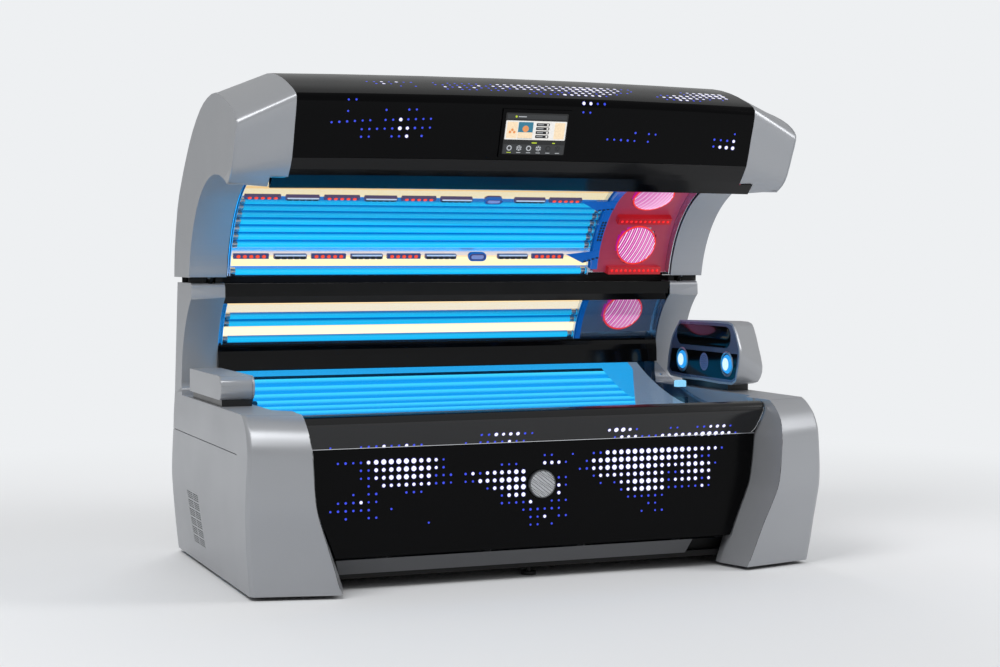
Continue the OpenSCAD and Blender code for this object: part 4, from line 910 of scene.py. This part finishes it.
# %% Ribs and rims of the facial lamps
CANOPY_LENS_ARC, WALL_LENS_ARC = 0.524, 0.410    # how far the lenses are from their lines
LENS_R = 0.092
DOME = 0.016
RIB_PITCH, RIB_WIDTH, RIB_HEIGHT = 0.0098, 0.0044, 0.0022
RIB_INSET, RIB_SHORTEST = 0.006, 0.012
RIB_TURN = math.radians(-20)
RIM_PROFILE = ((0.003, -0.002), (0.003, 0.0024), (0, 0.004), (-0.003, 0.002), (-0.003, -0.002))
LENS_PAINTS = ["face_lamp_rib_white", "face_lamp_rib_pink", "face_lamp_rim"]


def lens_height(reach):
    """Height of the domed lens above its rim, at that distance from its middle."""
    return DOME * (1 - (reach / LENS_R) ** 2)


def ribbed_lens(form, line, radius, degrees):
    """The ribs and the rim of one lamp, whose lens stands on an arc of that radius."""
    inward, along, round_arc = arc_axes(degrees)
    foot = on_arc(line, radius, degrees, FACE_X)
    across = along * math.cos(RIB_TURN) + round_arc * math.sin(RIB_TURN)
    forward = inward.cross(across)
    count = int(LENS_R / RIB_PITCH)
    for k in range(-count, count + 1):
        offset = k * RIB_PITCH
        half = math.sqrt(max(LENS_R ** 2 - offset ** 2, 0)) - RIB_INSET
        if half < RIB_SHORTEST:
            continue
        spots = []
        for i in range(13):
            t = -half + 2 * half * i / 12
            height = lens_height(math.hypot(t, offset)) + 0.0002
            spots.append(foot + across * offset + forward * t + inward * height)
        rib(form, spots, inward, RIB_WIDTH, RIB_HEIGHT, 1 if k % 2 else 0)
    loops = [ring(foot + inward * z, along, round_arc, LENS_R + r, 48) for r, z in RIM_PROFILE]
    form.loft(loops + loops[:1], 2, start=False, end=False)


canopy_lenses = Form()
for degrees in FACE_TURNS:
    ribbed_lens(canopy_lenses, TUNNEL, CANOPY_LENS_ARC, degrees)
canopy_lenses.piece("canopy_lens_ribs", LENS_PAINTS, "canopy", "facial_lens")
wall_lens = Form()
ribbed_lens(wall_lens, SIDE_LINE, WALL_LENS_ARC, WALL_FACE_TURN)
wall_lens.piece("wall_lens_ribs", LENS_PAINTS, "base", "facial_lens")

# %% [markdown]
# Three red bars cross the face compartment of the canopy, one below each lamp and one
# above. Each carries a row of eleven red LEDs, small domes with a flat top.

# %% Red LEDs of the face compartment
RED_TURNS = (12.4, 40.4, 71.0)
RED_LED_R, RED_LED_PITCH = 0.504, 0.0225

red_dots = Form()
for degrees in RED_TURNS:
    inward, along, round_arc = arc_axes(degrees)
    for i in range(11):
        spot = on_arc(TUNNEL, RED_LED_R, degrees, FACE_X + (i - 5) * RED_LED_PITCH)
        outline = ring(spot, along, round_arc, 0.0068, 16)
        button(red_dots, outline, spot, inward, [(1.0, -0.0005), (0.9, 0.0016), (0.5, 0.003)])
red_dots.piece("face_led_domes", ["led_red"], "canopy", "led_red")

# %% [markdown]
# A moulded lining closes the space between the facial lamps: rose in the canopy, a colour
# that paints in the light of the red bars, and grey in the lamp wall. It is a sheet round
# the same line as the lamps, and a lamp needs a hole in it. The sheet is laid as small
# tiles, and a tile whose middle is within a lamp's reach is left out, which the lamp's own
# rim then hides.

# %% Linings of the face compartments
TILES_ALONG, TILES_ROUND = 30, 46
LINING_THICK = 0.0015
LAMP_REACH = 0.098
CANOPY_LINING_ARC, WALL_LINING_ARC = 0.535, 0.427    # just behind the lenses


def arc_lining(name, paint, body, slot, line, radius, x_range, degrees, lamps):
    """A tiled sheet round the line between two angles, with a hole for each lamp's angle."""
    form = Form()
    holes = [on_arc(line, radius, lamp, FACE_X) for lamp in lamps]

    def spot(i, j, r):
        x = x_range[0] + (x_range[1] - x_range[0]) * i / TILES_ALONG
        return on_arc(line, r, degrees[0] + (degrees[1] - degrees[0]) * j / TILES_ROUND, x)

    for i in range(TILES_ALONG):
        for j in range(TILES_ROUND):
            middle = spot(i + 0.5, j + 0.5, radius)
            if all((middle - hole).length >= LAMP_REACH for hole in holes):
                corners = ((i, j), (i + 1, j), (i + 1, j + 1), (i, j + 1))
                form.loft([[spot(a, b, r) for a, b in corners]
                           for r in (radius + LINING_THICK, radius)])
    form.piece(name, [paint], body, slot)


# the rose lining is painted red light of the bars, and both linings glow as painted light
arc_lining("face_bed_lining", "face_bed_rose", "canopy", "divider_blue",
           TUNNEL, CANOPY_LINING_ARC, (0.658, 1.018), (11, 110), FACE_TURNS)
arc_lining("wall_bed_lining", "wall_lining_grey", "base", "smoked_plastic",
           SIDE_LINE, WALL_LINING_ARC, (0.658, 1.016), (17.5, 46), [WALL_FACE_TURN])

# %% [markdown]
# Two rails under the canopy carry small strips in a row: some hold five orange-red LEDs,
# some are outlets for mist and scent with five dark slots over a white lip, and one in each
# row is an oval unit with a blue ring. The strips themselves are a CAD node; the lights and
# outlets stand on them, each kind at its own height.

# %% Strips on the canopy rails
STRIP_ANGLES = (21.0, 58.5)
STRIP_R = 0.4937
STRIP_LIFT = {"led": 0.014, "outlet": 0.018, "oval": 0.020}
STRIP_X0, STRIP_STEP = -0.930, 0.167
LED_STRIPS, OUTLET_STRIPS, OVAL_STRIP = (0, 2, 4, 8), (1, 3, 5, 7), 6
FIVE = [(k - 2) * 0.027 for k in range(5)]
OVAL_RING = ((0.004, -0.012), (0.004, 0.001), (-0.002, 0.002), (-0.006, -0.0006))

strip_bits = Form()
for degrees in STRIP_ANGLES:
    inward, along, round_arc = arc_axes(degrees)

    def on_strip(kind, place, shift):
        """A point on top of the strip at that place of the row."""
        return on_arc(TUNNEL, STRIP_R - STRIP_LIFT[kind], degrees,
                      STRIP_X0 + place * STRIP_STEP + shift)

    for i in LED_STRIPS:
        for shift in FIVE:
            spot = on_strip("led", i, shift)
            button(strip_bits, ring(spot, along, round_arc, 0.0088, 18, 0.0078), spot, inward,
                   [(1.0, -0.0005), (0.92, 0.002), (0.5, 0.0038)], 0)
    for i in OUTLET_STRIPS:
        for shift in FIVE:
            spot = on_strip("outlet", i, shift) - round_arc * 0.0035
            button(strip_bits, rounded(spot, along, round_arc, 0.0235, 0.0130, 0.004), spot,
                   inward, [(1.0, -0.0005), (1.0, 0.001), (0.9, 0.0016)], 1)
        lip = on_strip("outlet", i, 0) + round_arc * 0.0068
        button(strip_bits, rounded(lip, along, round_arc, 0.134, 0.0062, 0.002), lip, inward,
               [(1.0, -0.0005), (0.98, 0.0024)], 4)
    spot = on_strip("oval", OVAL_STRIP, 0)
    strip_bits.loft([rounded(spot + inward * h, along, round_arc, 0.078 + g, 0.034 + g,
                             0.016 + g / 2, 8) for g, h in OVAL_RING], 2, end=False)
    button(strip_bits, rounded(spot, along, round_arc, 0.060, 0.020, 0.0098, 8), spot, inward,
           [(1.0, -0.001), (0.9, 0.002), (0.6, 0.0035)], 3)
strip_bits.piece("strip_lights_and_outlets",
                 ["led_orange_red", "satin_black_abs", "divider_blue_moulding",
                  "oval_unit_lilac", "outlet_lip_white"], "canopy", "strip_violet")

# %% [markdown]
# The divider between the lamps and the face compartment blows air. A louvre of short slots
# sits half way up it, and two fairings sweep from its edge on to the rails, four-cornered
# plates that follow the tunnel, with dark slots along one side.

# %% Vents and fairings of the divider
LOUVRE_R, LOUVRE_X = 0.476, (0.6285, 0.6415)
FAIRING_R, FAIRING_THICK = 0.4745, 0.0025
FAIRING_STEPS, FAIRING_SLOTS = 8, 4

vents = Form()
for j in range(7):
    degrees = 31.0 + 1.9 * j
    inward, along, round_arc = arc_axes(degrees)
    for x in LOUVRE_X:
        spot = on_arc(TUNNEL, LOUVRE_R, degrees, x)
        button(vents, rounded(spot, along, round_arc, 0.009, 0.011, 0.003), spot, inward,
               [(1.0, -0.0005), (1.0, 0.0012), (0.85, 0.0016)], 1)


def between(a, b, share):
    """The pair of numbers at that share of the way from a to b."""
    return a[0] + (b[0] - a[0]) * share, a[1] + (b[1] - a[1]) * share


def fairing(a, b, c, d):
    """A plate that follows the tunnel; its corners are (x, degrees), and slots lie on d to c."""
    for j in range(FAIRING_STEPS):
        low, high = j / FAIRING_STEPS, (j + 1) / FAIRING_STEPS
        loop = [between(a, d, low), between(b, c, low), between(b, c, high), between(a, d, high)]
        vents.loft([[on_arc(TUNNEL, r, t, x) for x, t in loop]
                    for r in (FAIRING_R + FAIRING_THICK, FAIRING_R)], 0)
    slot_length = (c[0] - d[0]) / FAIRING_SLOTS * 0.74
    for k in range(FAIRING_SLOTS):
        x, degrees = between(d, c, (k + 0.5) / FAIRING_SLOTS)
        degrees += 0.6
        inward, along, round_arc = arc_axes(degrees)
        spot = on_arc(TUNNEL, FAIRING_R, degrees, x)
        button(vents, rounded(spot, along, round_arc, slot_length, 0.007, 0.002), spot, inward,
               [(1.0, -0.0005), (0.9, 0.0014)], 1)


fairing((0.470, 59.6), (0.648, 59.6), (0.652, 52.6), (0.575, 51.2))
fairing((0.490, 22.4), (0.648, 24.8), (0.652, 20.2), (0.575, 17.6))
vents.piece("divider_vents_and_fairings", ["divider_blue_moulding", "satin_black_abs"], "canopy",
            "divider_blue")

# %% [markdown]
# Every tube ends in a metal cap with a rolled lip. The caps are lathe forms: a few rings
# along the tube, a little wider than the glass and pulled in at the end.

# %% Caps of the tubes
TUBE_R = 0.016
CAP_PROFILE = ((1.03, -0.024), (1.05, -0.022), (1.05, -0.004), (0.98, -0.001), (0.6, 0.0))
CAP_INSET = 0.0005
CANOPY_TUBE_ARC, WALL_TUBE_ARC = 0.525, 0.412    # how far the tubes are from their lines


def capped_tubes(name, line, radius, turns, body):
    """Two caps for each tube of a set; turns are the angles of the tubes."""
    form = Form()
    for degrees in turns:
        for x, way in ((BED_X[0] + CAP_INSET, -1), (BED_X[1] - CAP_INSET, 1)):
            middle, outward = on_arc(line, radius, degrees, x), Vector((way, 0, 0))
            form.loft([ring(middle + outward * h, BACKWARD, outward.cross(BACKWARD), TUBE_R * s, 20)
                       for s, h in CAP_PROFILE], 0)
    form.piece(name, ["brushed_aluminium"], body, "bright_steel")


canopy_turns = [12.2] + [25.5 + 4.1 * i for i in range(7)] + [73.8 + 4.92 * i for i in range(6)]
capped_tubes("canopy_tube_caps", TUNNEL, CANOPY_TUBE_ARC, canopy_turns, "canopy")
capped_tubes("wall_tube_caps", SIDE_LINE, WALL_TUBE_ARC, (17.6, 28, 33.2), "base")

# %% [markdown]
# The screen on the canopy is a touch display under dark glass. What it shows here is a
# plain menu of bars and dots without words. Each shape is a very thin lit tile, a few
# tenths of a millimetre above the glass, and shapes that lie on others stand higher. The
# screen leans, so its middle and its two directions are read from its own front face.

# %% Screen colours and tiles
SCREEN_COLOURS = {
    "screen_charcoal": "#2a2c2e", "screen_white": "#f4f2ee", "screen_cream": "#ffe6c2",
    "screen_orange": "#ee9a5a", "screen_teal": "#2b7a96", "screen_black": "#0c0d0e",
    "screen_lime": "#bfd62a", "screen_grey": "#b9bdc2"}
SCREEN_TINTS = list(SCREEN_COLOURS)
SCREEN_GLOW = 0.95
TILE_SUNK = 0.0002
TILE_ROUND = 0.0001        # a tile's edge is softened over this height
for name, colour in SCREEN_COLOURS.items():
    glow(name, colour, SCREEN_GLOW)


def front_face(node):
    """Middle, outward and up of a node's largest flat that looks to the front."""
    mesh = NODES[node].data
    best = max((f for f in mesh.polygons if f.normal.y < -0.3), key=lambda f: f.area)
    same = [f for f in mesh.polygons if f.normal.dot(best.normal) > 0.999]
    middle = sum((f.center * f.area for f in same), Vector()) / sum(f.area for f in same)
    normal = best.normal.normalized()
    return middle, normal, normal.cross(HEADWARD).normalized()


screen_middle, screen_out, screen_up = front_face("control_screen")
display = Form()


def on_screen(u, v):
    """A place on the glass, u and v millimetres right and up from its middle."""
    return screen_middle + HEADWARD * (u / 1000) + screen_up * (v / 1000)


def tile(u, v, width, height, colour, corner, lift):
    """A lit rectangle, its size in millimetres."""
    spot = on_screen(u, v)
    outline = rounded(spot, HEADWARD, screen_up, width / 1000, height / 1000, corner, 3)
    button(display, outline, spot, screen_out,
           [(1.0, -TILE_SUNK), (1.0, lift), (0.98, lift + TILE_ROUND)],
           SCREEN_TINTS.index("screen_" + colour))


def dot(u, v, radius, colour, lift=0.0008):
    """A lit disc, its radius in millimetres."""
    spot = on_screen(u, v)
    button(display, ring(spot, HEADWARD, screen_up, radius / 1000, 20), spot, screen_out,
           [(1.0, -TILE_SUNK), (1.0, lift), (0.96, lift + TILE_ROUND)],
           SCREEN_TINTS.index("screen_" + colour))


print("screen middle", [round(c, 3) for c in screen_middle], "finishes", len(FINISHES))

# %% [markdown]
# The menu has a header, a white field with two cards, four switches and a third card, and a
# foot with six round symbols. The second card is a plain landscape of a sun over sand.

# %% Menu on the screen
tile(0, 0, 262, 166, "black", 0.004, 0.0002)
tile(0, 68, 250, 18, "charcoal", 0.002, 0.0004)
dot(-88, 68, 4.5, "lime")
tile(-62, 68, 34, 3.5, "grey", 0.0012, 0.0008)
tile(0, 14, 256, 76, "white", 0.003, 0.0004)
tile(-100, 14, 44, 66, "cream", 0.003, 0.0007)
tile(-44, 14, 62, 66, "teal", 0.003, 0.0007)
tile(-44, -6, 62, 24, "cream", 0.003, 0.0009)
dot(-44, 20, 13, "orange", 0.0011)
for v in (38, 22, 6, -10):
    tile(28, v, 56, 12, "black", 0.003, 0.0008)
    tile(18, v, 26, 2.6, "grey", 0.001, 0.0011)
    dot(48, v, 4, "white", 0.0012)
tile(100, 14, 44, 66, "cream", 0.003, 0.0006)
for k in range(3):
    dot(-108 + 9 * k, 6 + 9 * (k % 2), 5.5, "orange", 0.0011)
tile(0, -36, 22, 5, "lime", 0.002, 0.0006)
tile(82, -36, 12, 4, "lime", 0.0015, 0.0006)
tile(0, -62, 256, 38, "charcoal", 0.003, 0.0004)
for k, u in enumerate((-103, -62, -21, 20, 61, 102)):
    dot(u, -58, 11, "grey" if k < 4 else "black")
    dot(u, -58, 6.5 if k % 2 == 0 else 3.5, "charcoal", 0.0012)
    if k % 2:
        for turn in range(6):
            a = math.pi * turn / 3
            dot(u + 8 * math.cos(a), -58 + 8 * math.sin(a), 2.4, "charcoal", 0.0013)
    tile(u, -76, 18, 2.6, "grey" if k else "lime", 0.001, 0.0008)
display.piece("screen_menu", SCREEN_TINTS, "canopy", "screen_glass")

# %% [markdown]
# The round knob in the front panel is turned aluminium: a chamfered rim, and a face with
# slanting half-round ribs that each catch one bright line.

# %% Knob
KNOB = Vector((0, -0.533, KNOB_Z))
KNOB_R, KNOB_RIBS_R = 0.055, 0.0505
KNOB_PROFILE = [(1.0, -0.0125), (1.0, 0.002), (0.985, 0.0045), (0.94, 0.0050), (0.93, 0.0030)]
KNOB_RIB_PITCH, KNOB_RIB_TURN = 0.0058, math.radians(38)

knob = Form()
out = Vector((0, -1, 0))
button(knob, ring(KNOB, HEADWARD, UPWARD, KNOB_R, 64), KNOB, out, KNOB_PROFILE, 1)
rib_way = (HEADWARD * math.cos(KNOB_RIB_TURN) - UPWARD * math.sin(KNOB_RIB_TURN)).normalized()
rib_side = out.cross(rib_way).normalized()
for k in range(-8, 9):
    offset = k * KNOB_RIB_PITCH
    half = math.sqrt(max(KNOB_RIBS_R ** 2 - offset ** 2, 0)) - 0.0006
    if half > 0.006:
        spots = [KNOB + out * 0.0028 + rib_side * offset + rib_way * (-half + half * i / 2)
                 for i in range(5)]
        rib(knob, spots, out, 0.0036, 0.0020)
knob.piece("ribbed_knob", ["brushed_aluminium", "knob_groove_grey"], "knob", "bright_steel")

# %% [markdown]
# The head pod's face has a round speaker in the middle with a perforated cover: a dished
# button, with rows of small pits in rings. Above it lies a long gloss black slot. The face
# looks along the bed to the foot end, so its drawing directions are front and up.

# %% Speaker cover and slot of the head pod
POD_X, EYE_Z = 1.042, 0.799
FRONTWARD = Vector((0, -1, 0))
pod_out = Vector((-1, 0, 0))
PIT_RINGS = ((1, 0.0), (8, 0.010), (14, 0.019), (20, 0.028))   # how many pits, at what radius

pod_face = Form()
speaker = Vector((POD_X, 0.104, EYE_Z))
button(pod_face, ring(speaker, FRONTWARD, UPWARD, 0.039, 40), speaker, pod_out,
       [(1.0, -0.002), (1.0, 0.0018), (0.93, 0.0026), (0.9, 0.0014), (0.0, 0.0014)], 0)
for count, reach in PIT_RINGS:
    for k in range(count):
        a = 2 * math.pi * k / count
        pit = speaker + FRONTWARD * (reach * math.cos(a)) + UPWARD * (reach * math.sin(a))
        button(pod_face, ring(pit, FRONTWARD, UPWARD, 0.0022, 8), pit, pod_out,
               [(1.0, 0.001), (0.8, 0.0019)], 1)
slot = Vector((POD_X, 0.114, 0.914))
button(pod_face, rounded(slot, FRONTWARD, UPWARD, 0.500, 0.092, 0.044, 8), slot, pod_out,
       [(1.0, -0.0004), (1.0, 0.0032), (0.985, 0.0040)], 3)
print("pits in the speaker cover", sum(count for count, reach in PIT_RINGS))

# %% [markdown]
# Two eyeball nozzles sit in a band of gloss black below the slot, and a ring frames each.
# The band follows the corner of the pod, so it is given as two outlines, one round each
# nozzle. Each half is a plate with a hole: its outer loop is where rays from the nozzle's
# middle reach the outline, and its inner loop is a circle.

# %% Band and rims of the nozzles
EYES = (-0.106, 0.314)         # how far back the front and the rear nozzle are
BAND_OUTLINES = (
    [(-0.197, 0.846), (-0.190, 0.800), (-0.174, 0.745), (-0.148, 0.733), (0.104, 0.734),
     (0.104, 0.846)],
    [(0.104, 0.846), (0.104, 0.734), (0.288, 0.735), (0.418, 0.740), (0.441, 0.756),
     (0.436, 0.779), (0.424, 0.824), (0.419, 0.846)])
BAND_STEPS, BAND_HOLE_R = 144, 0.0455
EYE_RIM = ((0.055, -0.002), (0.055, 0.0025), (0.051, 0.0045), (0.0465, 0.0035),
           (0.0460, -0.002))


def to_outline(outline, y, z, angle):
    """Distance from (y, z) to the outline round it, in that direction."""
    dy, dz = math.cos(angle), math.sin(angle)
    found = []
    for (ya, za), (yb, zb) in zip(outline, outline[1:] + outline[:1]):
        across = dy * (zb - za) - dz * (yb - ya)
        if abs(across) > 1e-9:
            t = ((ya - y) * (zb - za) - (za - z) * (yb - ya)) / across
            share = ((ya - y) * dz - (za - z) * dy) / across
            if t > 0 and -1e-6 <= share <= 1 + 1e-6:
                found.append(t)
    return min(found)


for y, outline in zip(EYES, BAND_OUTLINES):
    eye = Vector((POD_X, y, EYE_Z))
    outer, inner = [], []
    for k in range(BAND_STEPS):
        a = 2 * math.pi * k / BAND_STEPS
        way = Vector((0, math.cos(a), math.sin(a)))
        outer.append(eye + way * to_outline(outline, y, EYE_Z, a))
        inner.append(eye + way * BAND_HOLE_R)
    plate = [[p + pod_out * h for p in loop]
             for loop, h in ((outer, -0.0004), (outer, 0.0009), (inner, 0.0009), (inner, -0.0004))]
    pod_face.loft(plate + plate[:1], 3, start=False, end=False)
    rim = [ring(eye + pod_out * h, FRONTWARD, UPWARD, r, 40) for r, h in EYE_RIM]
    pod_face.loft(rim + rim[:1], 2, start=False, end=False)
pod_face.piece("speaker_cover_and_nozzle_rims",
               ["lilac_speaker_lacquer", "satin_black_abs", "brushed_aluminium",
                "piano_black_acrylic"], "base", "smoked_plastic")

# %% [markdown]
# The nozzles tilt in their sockets, so the light in each is a piece that rides on its own
# body: a blue lens with a nearly white middle.

# %% Lenses of the nozzles
LENS_X = 1.0355

for y, body in zip(EYES, ("front_nozzle", "rear_nozzle")):
    lamp = Form()
    eye = Vector((LENS_X, y, EYE_Z))
    button(lamp, ring(eye, FRONTWARD, UPWARD, 0.0365, 40), eye, pod_out,
           [(1.0, -0.006), (0.97, 0.001), (0.8, 0.0022)], 0)
    button(lamp, ring(eye, FRONTWARD, UPWARD, 0.0285, 32), eye, pod_out,
           [(1.0, 0.0018), (0.8, 0.0036), (0.4, 0.0048)], 1, start=False)
    lamp.piece(body + "_lens", ["nozzle_glow_blue", "nozzle_glow_white"], body, "tanning_tube")

# %% [markdown]
# Where the canopy meets the columns and the lamp wall, foam seals lie behind the gap, so
# that no light shows through it. They stand on the fixed side, behind the hinge line,
# where the closing canopy lifts away from them.

# %% Seals of the canopy
COLUMN_SEALS = ((1.036, 1.064, 0.445), (1.104, 1.176, 0.445), (0.985, 1.176, 0.575))

seals = Form()


def seal(low, high):
    """A straight strip of foam between two corners, with its long edges rounded off."""
    (x0, y0, z0), (x1, y1, z1) = low, high
    middle = Vector((x0, (y0 + y1) / 2, (z0 + z1) / 2))
    corner = min(y1 - y0, z1 - z0) * 0.3
    loop = rounded(middle, BACKWARD, UPWARD, y1 - y0, z1 - z0, corner, 3)
    seals.loft([loop, [p + Vector((x1 - x0, 0, 0)) for p in loop]])


seal((-1.027, 0.500, 1.1492), (1.027, 0.508, 1.1768))
seal((-1.0295, 0.500, 1.1740), (1.0295, 0.506, 1.1880))
for side in (-1, 1):
    for inner, outer, back in COLUMN_SEALS:
        ends = sorted((side * inner, side * outer))
        seal((ends[0], back, 1.1532), (ends[1], back + 0.007, 1.1766))
seals.piece("canopy_seals", ["black_rubber"], "base", "satin_black")

# %% [markdown]
# Each casing is two mouldings that meet in a fine dark joint along its front ridge. The
# ridge isn't a line in the CAD model, so rays find it: at each height they walk across the
# casing, and the ridge is where the surface turns most between two of them. The line is
# then evened out, and it keeps inside the box of the CAD model.

# %% Joints of the casings
RIDGE_RAY_Y = -1.4
RIDGE_HEIGHTS = [0.030 + 0.010 * k for k in range(60)]
RIDGE_WALK = [0.72 + 0.0025 * i for i in range(180)]
NEAR = 0.03                    # neighbours on the walk lie no further apart
TURNS_BELOW = 0.94             # cosine of the least turn that counts as a ridge
JOINT_R = 0.0011


def ridge_spots(node, side):
    """Where the front ridge of a casing lies at each height, found with rays from the front."""
    spots = []
    for z in RIDGE_HEIGHTS:
        hits = [meet(node, Vector((side * x, RIDGE_RAY_Y, z)), BACKWARD) for x in RIDGE_WALK]
        walk = [hit for hit in hits if hit]
        turns = [(a[1].dot(b[1]), b[0]) for a, b in zip(walk, walk[1:])
                 if (a[0] - b[0]).length < NEAR]
        if turns:
            sharpest, spot = min(turns, key=lambda t: t[0])
            if sharpest < TURNS_BELOW:
                spots.append(spot)
    for _ in range(3):
        groups = [spots[max(i - 1, 0):i + 2] for i in range(len(spots))]
        spots = [sum(group, Vector()) / len(group) for group in groups]
    return spots


joints = Form()
foremost = cad_box[0][1] + 0.0012
for node, side in (("left_foot_casing", -1), ("right_foot_casing", 1)):
    spots = ridge_spots(node, side)
    print(node, "ridge points", len(spots))
    tube_along(joints, [Vector((s.x, max(s.y + 0.0002, foremost), s.z)) for s in spots],
               JOINT_R, 0, 6)

# %% [markdown]
# At the head end of the rail a fine chromed bead turns up along its edge. Rays that walk in
# from the casing find that edge at each height, and the bead's foot curves away from it.

# %% Bead of the rail
BEAD_HEIGHTS = [0.5480 + 0.0085 * k for k in range(13)]
BEAD_WALK = [0.97 - 0.001 * i for i in range(200)]
BEAD_INSET, BEAD_R = 0.0035, 0.0012
FOOT_POINTS, FOOT_REACH = 3, 0.012

bead = []
for k, z in enumerate(BEAD_HEIGHTS):
    hits = (meet("front_rail", Vector((x, RIDGE_RAY_Y, z)), BACKWARD) for x in BEAD_WALK)
    edge = next((hit[0] for hit in hits if hit), None)
    if edge:
        back = FOOT_REACH * (1 - k / FOOT_POINTS) ** 2 if k < FOOT_POINTS else 0
        bead.append(edge + Vector((-BEAD_INSET - back, -0.0004, 0)))
print("bead points", len(bead))
tube_along(joints, bead, BEAD_R, 1, 8)
joints.piece("foot_joints_and_bead", ["satin_black_abs", "polished_steel"], "base", "satin_black")

# %% [markdown]
# Under the head end of the lying pane a moulded cover hides the sockets of the bench
# tubes. Its grey glows at full strength, painted light where the canopy shades it. A thin
# sheet beside it glows blue, painted light that carries the blue of the tubes on over the
# rear tube ends and along the rear edge of the bench. Both follow the arc of the pane a few
# millimetres below it.

# %% Cover over the bench sockets
BENCH_COVER_R, COVER_THICK = 1.5175, 0.002

cover = Form()


def cover_edge(degrees):
    """Where the lit part ends, at that turn of the bench's arc."""
    y = on_arc(BENCH_LINE, BENCH_COVER_R, degrees, 0)[1]
    return max(0.690, min(0.890, 0.660 + 0.45 * y))


def cover_sheet(degrees, steps, start, end, tint):
    """A sheet between two angles; start and end give its x at each angle."""
    loops = []
    for j in range(steps + 1):
        turn = degrees[0] + (degrees[1] - degrees[0]) * j / steps
        top, under = BENCH_COVER_R, BENCH_COVER_R + COVER_THICK
        x0, x1 = start(turn), end(turn)
        loops.append([on_arc(BENCH_LINE, r, turn, x)
                      for r, x in ((top, x0), (top, x1), (under, x1), (under, x0))])
    cover.loft(loops, tint)


# tint 0 is the cover with its painted grey glow, tint 1 the sheet of painted blue tube light
cover_sheet((256.5, 297.2), 32, cover_edge, lambda turn: 0.934, 0)
cover_sheet((283.0, 295.4), 12, lambda turn: 0.738, lambda turn: cover_edge(turn) - 0.001, 1)
cover_sheet((295.5, 297.2), 4, lambda turn: -1.000, lambda turn: 0.888, 1)
cover.piece("bench_socket_cover", ["bench_end_grey", "bench_painted_tube_glow"], "base",
            "smoked_plastic")

# %% [markdown]
# In front of the head pod a small lit block of frosted acrylic stands on the deck, a
# rounded rectangle with a soft top edge.

# %% Lit block on the deck
block = Form()
foot = Vector((0.992, 0.238, 0.6812))
button(block, rounded(foot, HEADWARD, BACKWARD, 0.050, 0.034, 0.009, 5), foot, UPWARD,
       [(1.0, 0.0), (1.0, 0.022), (0.93, 0.027), (0.75, 0.029)])
block.piece("deck_light_block", ["frosted_block_glow"], "base", "tanning_tube")
